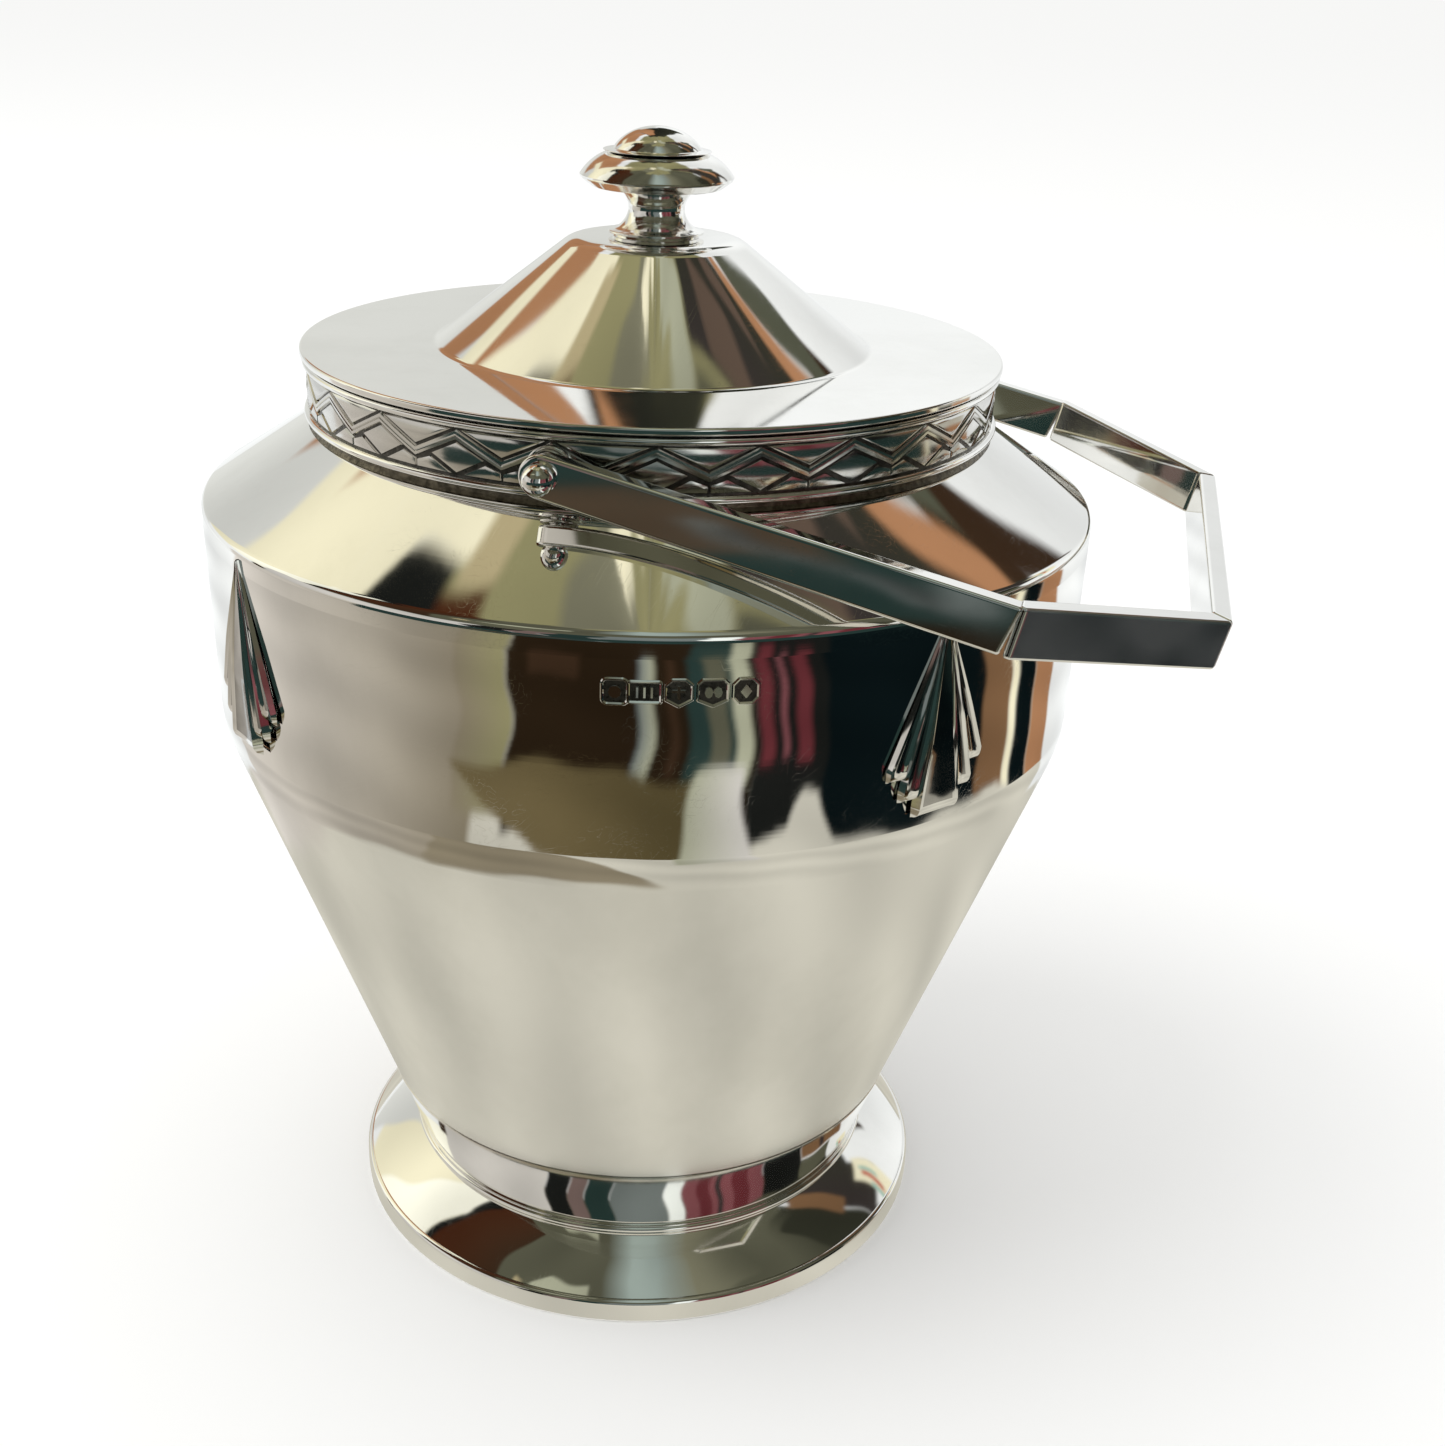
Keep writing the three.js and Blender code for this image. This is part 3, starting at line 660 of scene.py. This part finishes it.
def slab(name, shape, thickness_from, thickness_to, axis, material, replaced):
    """A flat bar: a shape drawn in two of the handle's directions and given thickness in the third."""
    def spot(p, depth):
        return handle_place(p[0], depth, p[1]) if axis == "Y" else handle_place(p[0], p[1], depth)
    near = [spot(p, thickness_from) for p in shape]
    far = [spot(p, thickness_to) for p in shape]
    count = len(shape)
    faces = [list(range(count)), list(range(count, 2 * count))]
    faces += [[i, (i + 1) % count, count + (i + 1) % count, count + i] for i in range(count)]
    made = piece(name, near + far, faces, material, "handle", "polished_silver", [replaced])
    chamfer = made.modifiers.new("chamfer", "BEVEL")
    chamfer.width = EDGE * MM
    chamfer.segments = 4
    chamfer.profile = 0.6
    chamfer.limit_method = "ANGLE"
    chamfer.angle_limit = math.radians(25)
    chamfer.harden_normals = True


def handle():
    bend = math.atan2(HALF_WIDTH - GRIP_HALF_LENGTH, GRIP_REACH - ARM_LENGTH)
    arm_mitre = BAR_THICKNESS * math.tan(bend / 2)
    grip_mitre = BAR_THICKNESS * math.tan((math.pi / 2 - bend) / 2)
    knee_start = ARM_LENGTH - arm_mitre
    knee_end = GRIP_HALF_LENGTH + CLEAR
    end = knee_start - CLEAR
    for side, label in ((-1, "near"), (1, "far")):
        arm = [*arc(0, 0, PIVOT_HALF, 90, 270, 24), (end - ARM_END_LEAN, -ARM_END_HALF),
               (end + ARM_END_LEAN, ARM_END_HALF)]
        outer = side * HALF_WIDTH
        slab(f"arm_{label}", arm, outer, outer - side * BAR_THICKNESS, "Y", HANDLE, f"handle_arm_{label}")
        knee = [(knee_start, HALF_WIDTH - KNEE_INSET), (ARM_LENGTH, HALF_WIDTH - KNEE_INSET),
                (GRIP_REACH, knee_end), (GRIP_REACH - BAR_THICKNESS, knee_end - grip_mitre),
                (knee_start, HALF_WIDTH - BAR_THICKNESS)]
        slab(f"knee_{label}", [(x, side * y) for x, y in knee], -GRIP_HALF, GRIP_HALF, "Z",
             HANDLED, f"handle_knee_{label}")
    inner = GRIP_HALF_LENGTH - grip_mitre
    slab("grip", [(GRIP_REACH, -GRIP_HALF_LENGTH), (GRIP_REACH, GRIP_HALF_LENGTH),
                  (GRIP_REACH - BAR_THICKNESS, inner), (GRIP_REACH - BAR_THICKNESS, -inner)],
         -GRIP_HALF, GRIP_HALF, "Z", HANDLED, "handle_grip")


def on_hinge(name, corners, side, material, slot, replaced, closed):
    """A turned piece about the hinge. Corners are (radius, distance out from the vessel's axis)."""
    def place(r, out, turn):
        angle = math.radians(turn)
        return Vector((HINGE.x + r * math.cos(angle), side * out, HINGE.z + r * math.sin(angle)))
    verts, faces = spun(outline(corners, closed), closed, FINE_TURNS, place)
    piece(name, verts, faces, material, "vessel", slot, [replaced])


def pivots():
    pin_radius, head_radius, hole = 1.3, 1.85, 1.55
    pin_end = COLLAR_INNER + 0.3
    head_foot = HALF_WIDTH + 0.08
    for side, label in ((-1, "near"), (1, "far")):
        out = max(abs(low(f"pivot_pin_{label}").y), abs(high(f"pivot_pin_{label}").y))
        head = arc(0, out - head_radius, head_radius, -12, 90, 14)
        head[-1] = (0, out)
        rivet = [(0, pin_end), (pin_radius, pin_end), (pin_radius, head_foot),
                 (head[0][0] - 0.25, head_foot), *head]
        on_hinge(f"pivot_rivet_{label}", rivet, side, SMALL, "polished_silver", f"pivot_pin_{label}",
                 closed=False)
        for node, material, slot_name, name in (
                (f"pivot_boss_{label}", SMALL, "polished_silver", f"pivot_collar_{label}"),
                (f"pivot_washer_{label}", INSIDE, "satin_silver", f"pivot_shim_{label}")):
            ends = sorted((abs(low(node).y), abs(high(node).y)))
            rim = (high(node).z - low(node).z) / 2
            on_hinge(name, [(hole, ends[0]), (rim, ends[0], 0.1), (rim, ends[1], 0.2), (hole, ends[1])],
                     side, material, slot_name, node, closed=True)


# ------------------------------------------------------------------ lid
def lid():
    crown_radius = LID_CONE_RADIUS - LID_CONE_SLOPE * (LID_CROWN - LID_FLAT)
    bottom = LID_FLAT - LID_SHEET
    lathe("lid_cover", [
        (STUD_HOLE, LID_CROWN), (crown_radius, LID_CROWN, 4.0), (LID_CONE_RADIUS, LID_FLAT, 1.2),
        (LID_RADIUS, LID_FLAT, 0.3), (LID_RADIUS, bottom, 0.25), (LID_CONE_RADIUS - 0.4, bottom, 1.0),
        (crown_radius - 0.4, LID_CROWN - LID_SHEET, 3.4), (STUD_HOLE, LID_CROWN - LID_SHEET)],
        LID, "lid", "polished_silver", ["lid_plate"])
    start, end = low("lid_bezel").z, high("lid_bezel").z
    lathe("lid_sleeve", [(BEZEL_RADIUS - 0.9, start), (BEZEL_RADIUS - 0.3, start, 0.15),
                         (BEZEL_RADIUS, start + 1.0, 0.3), (BEZEL_RADIUS, end + OVERLAP),
                         (BEZEL_RADIUS - 0.9, end + OVERLAP)], INSIDE, "lid", "satin_silver", ["lid_bezel"])


def finial():
    base = LID_CROWN + CLEAR
    stem_top = high("finial_stem").z + 0.3
    waist = bezier((4.7, base + 1.4), (3.5, base + 2.5), (3.0, stem_top - 1.7), (5.2, stem_top), steps=14)
    lathe("finial_pillar", [(STUD_HOLE, base), (5.6, base), (5.7, base + 0.35, 0.05), (6.3, base + 0.5, 0.1),
                            (6.3, base + 0.75, 0.12), (5.5, base + 0.95, 0.1), (5.0, base + 1.15, 0.2),
                            *waist, (STUD_HOLE, stem_top)],
          FINIAL, "lid", "polished_silver", ["finial_stem"], turns=FINE_TURNS)
    under, top = low("finial_saucer").z, high("finial_saucer").z
    rim = radius_of("finial_saucer")
    dome = bezier((rim, under + 1.55), (rim - 1.2, top - 0.75), (6.7, top + 0.1), steps=12)
    lathe("finial_dish", [(STUD_HOLE, under), (rim - 1.6, under + 0.1, 0.5), (rim - 0.1, under + 1.2, 0.5),
                          *dome, (6.2, top + OVERLAP, 0.2), (STUD_HOLE, top + OVERLAP)],
          FINIAL, "lid", "polished_silver", ["finial_saucer"], turns=FINE_TURNS)
    brim, peak = low("finial_cap").z, high("finial_cap").z
    flange = radius_of("finial_cap")
    sweep = bezier((5.7, brim + 0.35), (5.0, brim + 1.6), (3.0, peak), (0.0, peak), steps=20)
    lathe("finial_button", [(STUD_HOLE, brim), (flange - 0.5, brim, 0.05), (flange, brim + 0.15, 0.05),
                            (6.0, brim + 0.28, 0.1), *sweep],
          FINIAL, "lid", "polished_silver", ["finial_cap"], closed=False, turns=FINE_TURNS)
    for name in ("finial_stud", "finial_washer", "finial_nut"):
        node = frame["nodes"][name]
        node.data.materials.clear()
        node.data.materials.append(INSIDE)


# ------------------------------------------------------------------ studio
# The polished metal shows its surroundings, so a room is painted on a dome and a floor sheet that
# only reflections see. This is more than plain studio light: the patches are a simplified copy of
# what the metal reflects in the reference photograph, with their directions traced from it and
# their colours matched to it. Without the call of studio() below, the light is plain.
# Azimuths here are from the camera's side, growing to its right.
VIEW_AZIMUTH = 14.32   # of the camera from the vessel's axis
ROOM_RADIUS = 1.6      # of the dome, in metres
ROOM_MIDDLE = 0.1      # height of the dome's centre, in metres
ROOM_FOOT = -6         # elevation of its lower edge, in degrees
SHEET_LIFT = 0.4       # height of the painted floor sheet over the floor

WALL = (0.90, 0.92, 0.92)
CREAM = (0.90, 0.85, 0.62)
IVORY = (1.04, 1.03, 0.88)
OLIVE = (0.27, 0.255, 0.13)
OLIVE_LIGHT = (0.40, 0.41, 0.30)
OLIVE_GREY = (0.095, 0.095, 0.064)
DARK_OLIVE = (0.030, 0.031, 0.021)
TERRACOTTA = (0.42, 0.21, 0.105)
BROWN = (0.20, 0.11, 0.055)
RUSSET = (0.062, 0.018, 0.007)
UMBER = (0.040, 0.022, 0.012)
PLUM = (0.042, 0.034, 0.033)
BLACK = (0.010, 0.011, 0.010)
MAROON = (0.13, 0.028, 0.034)
ROSE = (0.22, 0.075, 0.085)
PINK_GREY = (0.17, 0.12, 0.11)
NAVY = (0.003, 0.0065, 0.0075)
TEAL = (0.020, 0.040, 0.036)
STEEL = (0.16, 0.185, 0.18)
GLARE = (0.95, 1.0, 0.97)
KHAKI = (0.155, 0.120, 0.058)
OLIVE_BROWN = (0.088, 0.068, 0.029)
PALE_GREY = (0.60, 0.58, 0.55)
SHEEN = (0.30, 0.36, 0.33)
EMBER = (0.020, 0.012, 0.006)
COFFEE = (0.076, 0.053, 0.034)
SLATE = (0.060, 0.064, 0.062)
RED = (0.50, 0.06, 0.03)
AQUA = (0.15, 0.45, 0.42)
TAN = (0.45, 0.38, 0.22)
COCOA = (0.115, 0.080, 0.060)
SOFT_OLIVE = (0.19, 0.185, 0.125)
MOSS = (0.085, 0.09, 0.062)
SMOKE = (0.70, 0.71, 0.68)
PAPER = (0.60, 0.58, 0.50)
PAPER_SHADE = (0.25, 0.215, 0.150)
PAPER_PINK = (0.74, 0.70, 0.65)

# Each patch: its colour (or the colours at its left and right), its left edge's azimuths at the
# foot and at the top, its right edge's azimuths at both, and the elevations of its foot and top in
# degrees. A later patch covers the ones before it.
HORIZON = [
    (PALE_GREY, (-103, -103), (-42, -42), (-8, 22)),
    (BLACK, (-42, -42), (-31, -31), (-8, 22)),
    (PINK_GREY, (-31, -31), (-23, -23), (-8, 22)),
    (TEAL, (-23, -23), (-11, -11), (-8, 22)),
    (STEEL, (-11, -11), (14, 14), (-8, 24)),
    (GLARE, (14, 14), (22, 22), (-8, 25)),
    (ROSE, (22, 22), (62, 62), (-8, 18)),
    (MAROON, (29, 29), (35, 35), (-8, 18)),
    (PLUM, (38, 38), (40.5, 40.5), (-8, 18)),
    (MAROON, (46, 46), (54, 54), (-8, 18)),
    (BLACK, (62, 62), (84, 84), (-8, 18)),
    (BROWN, (84, 84), (112, 112), (-8, 5)),
    (PLUM, (96, 96), (99, 99), (-8, 4)),
    (UMBER, (-107, -107), (-102, -102), (-8, 5)),
]
SKY = [
    (OLIVE, (-180, -180), (180, 180), (60, 95)),
    (SOFT_OLIVE, (-140, -140), (-60, -60), (79, 88)),
    (OLIVE_LIGHT, (95, 95), (180, 180), (79.5, 85.5)),
    (CREAM, (-168, -168), (-128, -128), (82, 86)),
    (OLIVE_GREY, (-99, -99), (104, 104), (6, 79)),
    ((OLIVE_GREY, SHEEN), (-14, -30), (-1, -6), (46, 79)),
    (SHEEN, (-2, -8), (10, 18), (46, 80)),
    ((SHEEN, SOFT_OLIVE), (9, 16), (32, 40), (46, 79)),
    ((SOFT_OLIVE, OLIVE_GREY), (31, 39), (66, 66), (50, 78)),
    (OLIVE_LIGHT, (-50, -46), (-22, -26), (48, 56)),
    (RUSSET, (-118, -112), (-84, -92), (46, 68.5)),
    ((RUSSET, UMBER), (-95, -112), (-55, -76), (26, 67)),
    (TAN, (-56, -56), (-50, -52), (43, 49)),
    (BLACK, (-120, -117), (-91.5, -97), (22, 57)),
    (CREAM, (-152, -128), (-94, -98), (3, 47)),
    (IVORY, (-121, -112), (-94, -98), (3, 47)),
    (IVORY, (-119, -111), (-97, -103), (45, 54)),
    (BLACK, (-118, -117), (-110, -110.5), (49.5, 62)),
    (CREAM, (-152, -128), (-112, -118), (46, 54)),
    (CREAM, (-128, -128), (-118, -115), (52, 66)),
    (TAN, (-124, -122), (-114, -112), (63, 69)),
    (SMOKE, (-180, -180), (-134, -136), (-6, 32)),
    (TERRACOTTA, (-160, -160), (-134, -126.5), (32, 53)),
    (TERRACOTTA, (-172, -172), (-146, -144), (17, 34)),
    (CREAM, (-152, -152), (-134, -131), (29, 35)),
    ((PLUM, DARK_OLIVE), (104, 108), (131, 125), (20, 79)),
    (COCOA, (107, 109), (118, 122), (64, 73)),
    (COCOA, (120, 121), (124, 126), (58, 65)),
    ((OLIVE_GREY, DARK_OLIVE), (58, 84), (92, 104), (18, 54)),
    (DARK_OLIVE, (88, 88), (104, 104), (18, 50)),
    (UMBER, (127, 127), (134.8, 134.8), (16, 42)),
    (MOSS, (129.5, 129.5), (138.5, 136), (37, 52)),
    (TERRACOTTA, (122.5, 126.5), (128, 130.5), (36, 57)),
    (BROWN, (102.5, 103), (109, 111), (33, 52)),
    (WALL, (134.8, 139), (180, 180), (-6, 39)),
    (WALL, (139, 141), (180, 180), (37, 52)),
    (WALL, (120.5, 122), (140, 129), (-8, 31)),
    (CREAM, (112.5, 115), (121, 123), (13, 29)),
    (RED, (115, 117), (116.5, 118.5), (17, 26)),
    (AQUA, (113, 114), (114, 115), (15, 22)),
    (AQUA, (118, 119), (118.8, 119.8), (20, 27)),
    ((DARK_OLIVE, BLACK), (163, 163), (200, 200), (27, 66)),
    (TERRACOTTA, (185, 187), (200, 198), (26, 60)),
    *HORIZON,
]
# The same for the floor, where foot and top are distances from the axis in millimetres.
FLOOR = [
    ((PAPER_PINK, PAPER_SHADE), (-128, -118), (-38, -38), (110, 900)),
    (PAPER_SHADE, (-52, -48), (6, -20), (104, 190)),
    (WALL, (118.5, 118.5), (242, 242), (150, 1800)),
    ((PAPER_SHADE, OLIVE), (-43, -43), (-31, -31), (215, 900)),
    (EMBER, (-31, -31), (24, 24), (205, 900)),
    (UMBER, (-26, -26), (-15, -14), (285, 330)),
    ((STEEL, OLIVE_LIGHT), (-4, -1), (0, 2), (215, 332)),
    (UMBER, (4, 4), (6, 6), (240, 320)),
    (TEAL, (8, 9), (19, 19), (235, 345)),
    (OLIVE_GREY, (13, 12), (17, 17), (240, 330)),
    (OLIVE_LIGHT, (18.5, 18), (22, 22.5), (232, 345)),
    (BLACK, (23, 23), (44, 42), (205, 900)),
    (MAROON, (24, 24), (27, 27), (240, 340)),
    (ROSE, (29, 29), (30.2, 30.2), (240, 330)),
    (MAROON, (32.5, 32.5), (36, 36), (235, 330)),
    (NAVY, (40, 40), (93, 93), (203, 900)),
    (BROWN, (85, 88), (96.5, 96), (203, 700)),
    (CREAM, (96.5, 96), (99.5, 99.5), (203, 700)),
    (NAVY, (99.5, 99.5), (108, 107), (200, 700)),
    (TERRACOTTA, (108, 107), (119, 119), (200, 700)),
    ((KHAKI, OLIVE_BROWN), (-22, -44), (7, 13), (192, 236)),
    ((OLIVE_LIGHT, PALE_GREY), (5, 11), (25, 21), (170, 240)),
    (PAPER, (20, 36), (50, 40), (150, 222)),
    (TEAL, (-70, -70), (94, 94), (352, 2000)),
    (COFFEE, (-42, -42), (-15, -20), (396, 468)),
    (STEEL, (-12.6, -24.6), (-11.6, -23.6), (366, 430)),
    (SLATE, (-11.2, -22.5), (-9.6, -21), (362, 420)),
    (STEEL, (-11.2, -12.6), (-8.5, -10.5), (362, 388)),
]


def band(value, start, end, soft):
    """1 between two edges and 0 outside them, with soft borders."""
    return np.clip(np.minimum(value - start, end - value) / soft + 0.5, 0, 1)


def painted(base, patches, azimuth, up, ripple, soft):
    """Colours of the patches at arrays of points, with rippled edges and a cloudy tone. up is
    the elevation or the distance, ripple is (degrees of azimuth, change of up, length) of the
    waves along the edges, and soft is the width of the edges in azimuth and in up."""
    waves = np.sin(up / ripple[2] + 1.0) + 0.5 * np.sin(2.3 * up / ripple[2] + azimuth / 31)
    azimuth = azimuth + ripple[0] * waves
    up = up + ripple[1] * (np.sin(azimuth / 8.5 + 0.7) + 0.5 * np.sin(azimuth / 3.1))
    colours = np.zeros((*azimuth.shape, 3)) + base
    for tints, left, right, (start_up, end_up) in patches:
        tints = np.array(tints if isinstance(tints[0], tuple) else (tints, tints))
        share = np.clip((up - start_up) / (end_up - start_up), 0, 1)
        start = left[0] + (left[1] - left[0]) * share
        end = right[0] + (right[1] - right[0]) * share
        for lap in (-360, 0, 360):
            place = azimuth + lap
            across = np.clip((place - start) / (end - start), 0, 1)[..., None]
            tint = tints[0] + (tints[1] - tints[0]) * across
            cover = band(place, start, end, soft[0]) * band(up, start_up, end_up, soft[1])
            colours += cover[..., None] * (tint - colours)
    cloudy = np.sin(azimuth / 9 + up / 13) * np.sin(up / 17 - azimuth / 23 + 1)
    return colours * (1 + 0.14 * cloudy)[..., None]


def paper(name, points, colours):
    """A glowing sheet, seen only in reflections, from a grid of points and their colours."""
    rows, columns = points.shape[:2]
    index = np.arange(rows * columns).reshape(rows, columns)
    faces = np.stack([index[:-1, :-1], index[:-1, 1:], index[1:, 1:], index[1:, :-1]], axis=-1)
    mesh = bpy.data.meshes.new(name)
    mesh.from_pydata(points.reshape(-1, 3).tolist(), [], faces.reshape(-1, 4).tolist())
    shade = mesh.color_attributes.new("paint", "FLOAT_COLOR", "POINT")
    opaque = np.concatenate([colours, np.ones((rows, columns, 1))], axis=-1)
    shade.data.foreach_set("color", opaque.astype(np.float32).ravel())
    glow = bpy.data.materials.new(name)
    glow.use_nodes = True
    tree = glow.node_tree
    tree.nodes.clear()
    paint = add(tree, "ShaderNodeAttribute", attribute_name="paint")
    light = add(tree, "ShaderNodeEmission", {"Color": paint.outputs["Color"]})
    add(tree, "ShaderNodeOutputMaterial", {"Surface": light.outputs[0]})
    mesh.materials.append(glow)
    made = bpy.data.objects.new(name, mesh)
    bpy.context.scene.collection.objects.link(made)
    made.visible_camera = False
    made.visible_diffuse = False
    made.visible_shadow = False
    made.visible_transmission = False


def around(azimuth, reach, height):
    """Points in metres at azimuths from the camera's side and distances from the vessel's axis."""
    turn = np.radians(azimuth + VIEW_AZIMUTH)
    return np.stack([reach * np.sin(turn) + AXIS_X * MM, -reach * np.cos(turn), height], -1)


def studio():
    azimuths = np.linspace(-180, 180, 721)
    azimuth, up = np.meshgrid(azimuths, np.linspace(ROOM_FOOT, 90, 161))
    rise = np.radians(up)
    points = around(azimuth, ROOM_RADIUS * np.cos(rise), ROOM_RADIUS * np.sin(rise) + ROOM_MIDDLE)
    paper("room_dome", points, painted(WALL, SKY, azimuth, up, (1.6, 1.2, 7.0), (1.6, 1.6)))

    radii = np.concatenate([np.linspace(0, 500, 201), [700, 1700]])
    azimuth, radius = np.meshgrid(azimuths, radii)
    points = around(azimuth, radius * MM, np.full_like(radius, SHEET_LIFT * MM))
    paper("room_floor", points, painted(PAPER, FLOOR, azimuth, radius, (1.1, 3.5, 16.0), (1.6, 5.0)))


def surroundings():
    world = bpy.data.worlds.new("studio")
    bpy.context.scene.world = world
    world.use_nodes = True
    shade = world.node_tree.nodes["Background"]
    shade.inputs["Color"].default_value = (1.0, 1.0, 1.0, 1)
    shade.inputs["Strength"].default_value = 1.0
    bpy.context.scene.view_settings.view_transform = "Standard"

    mesh = bpy.data.meshes.new("floor")
    reach = 12.0
    mesh.from_pydata([(-reach, -reach, 0), (reach, -reach, 0), (reach, reach, 0), (-reach, reach, 0)], [],
                     [[0, 1, 2, 3]])
    floor = bpy.data.objects.new("floor", mesh)
    bpy.context.scene.collection.objects.link(floor)
    paint = bpy.data.materials.new("floor paper")
    paint.use_nodes = True
    matt = paint.node_tree.nodes["Principled BSDF"].inputs
    matt["Base Color"].default_value = (0.93, 0.93, 0.92, 1)
    matt["Roughness"].default_value = 0.9
    matt["Specular IOR Level"].default_value = 0.0
    mesh.materials.append(paint)

    lamp = bpy.data.lights.new("soft_key", "AREA")
    lamp.shape = "DISK"
    lamp.size = 1.2
    lamp.energy = 9.0
    key = bpy.data.objects.new("soft_key", lamp)
    bpy.context.scene.collection.objects.link(key)
    key.location = (-0.9, -0.5, 1.5)
    key.rotation_euler = (Vector((0, 0, 0.06)) - key.location).to_track_quat("-Z", "Y").to_euler()
    key.visible_glossy = False


def camera():
    """The view of the object that the reference has: close, from above, slightly rolled."""
    distance, height = 238.84, 178.66  # from the vessel's axis and over the floor
    yaw, pitch, roll = math.radians(2.654), math.radians(23.71), math.radians(2.137)
    turn = Matrix.Rotation(math.radians(VIEW_AZIMUTH), 3, "Z")
    forward = math.cos(pitch)
    ahead = turn @ Vector((math.sin(yaw) * forward, math.cos(yaw) * forward, -math.sin(pitch)))
    level = turn @ Vector((math.cos(yaw), -math.sin(yaw), 0))
    above = level.cross(ahead)
    right = math.cos(roll) * level + math.sin(roll) * above
    up = -math.sin(roll) * level + math.cos(roll) * above
    data = bpy.data.cameras.new("camera")
    data.sensor_width = 36.0
    data.lens = 44.30
    data.clip_start = 0.01
    data.clip_end = 50
    made = bpy.data.objects.new("camera", data)
    bpy.context.scene.collection.objects.link(made)
    place = Matrix((right, up, -ahead)).transposed().to_4x4()
    place.translation = turned_point(distance, VIEW_AZIMUTH, height) * MM
    made.matrix_world = place
    bpy.context.scene.camera = made


camera()
foot()
body()
fans()
struck_marks()
neck()
handle()
pivots()
lid()
finial()
studio()
surroundings()
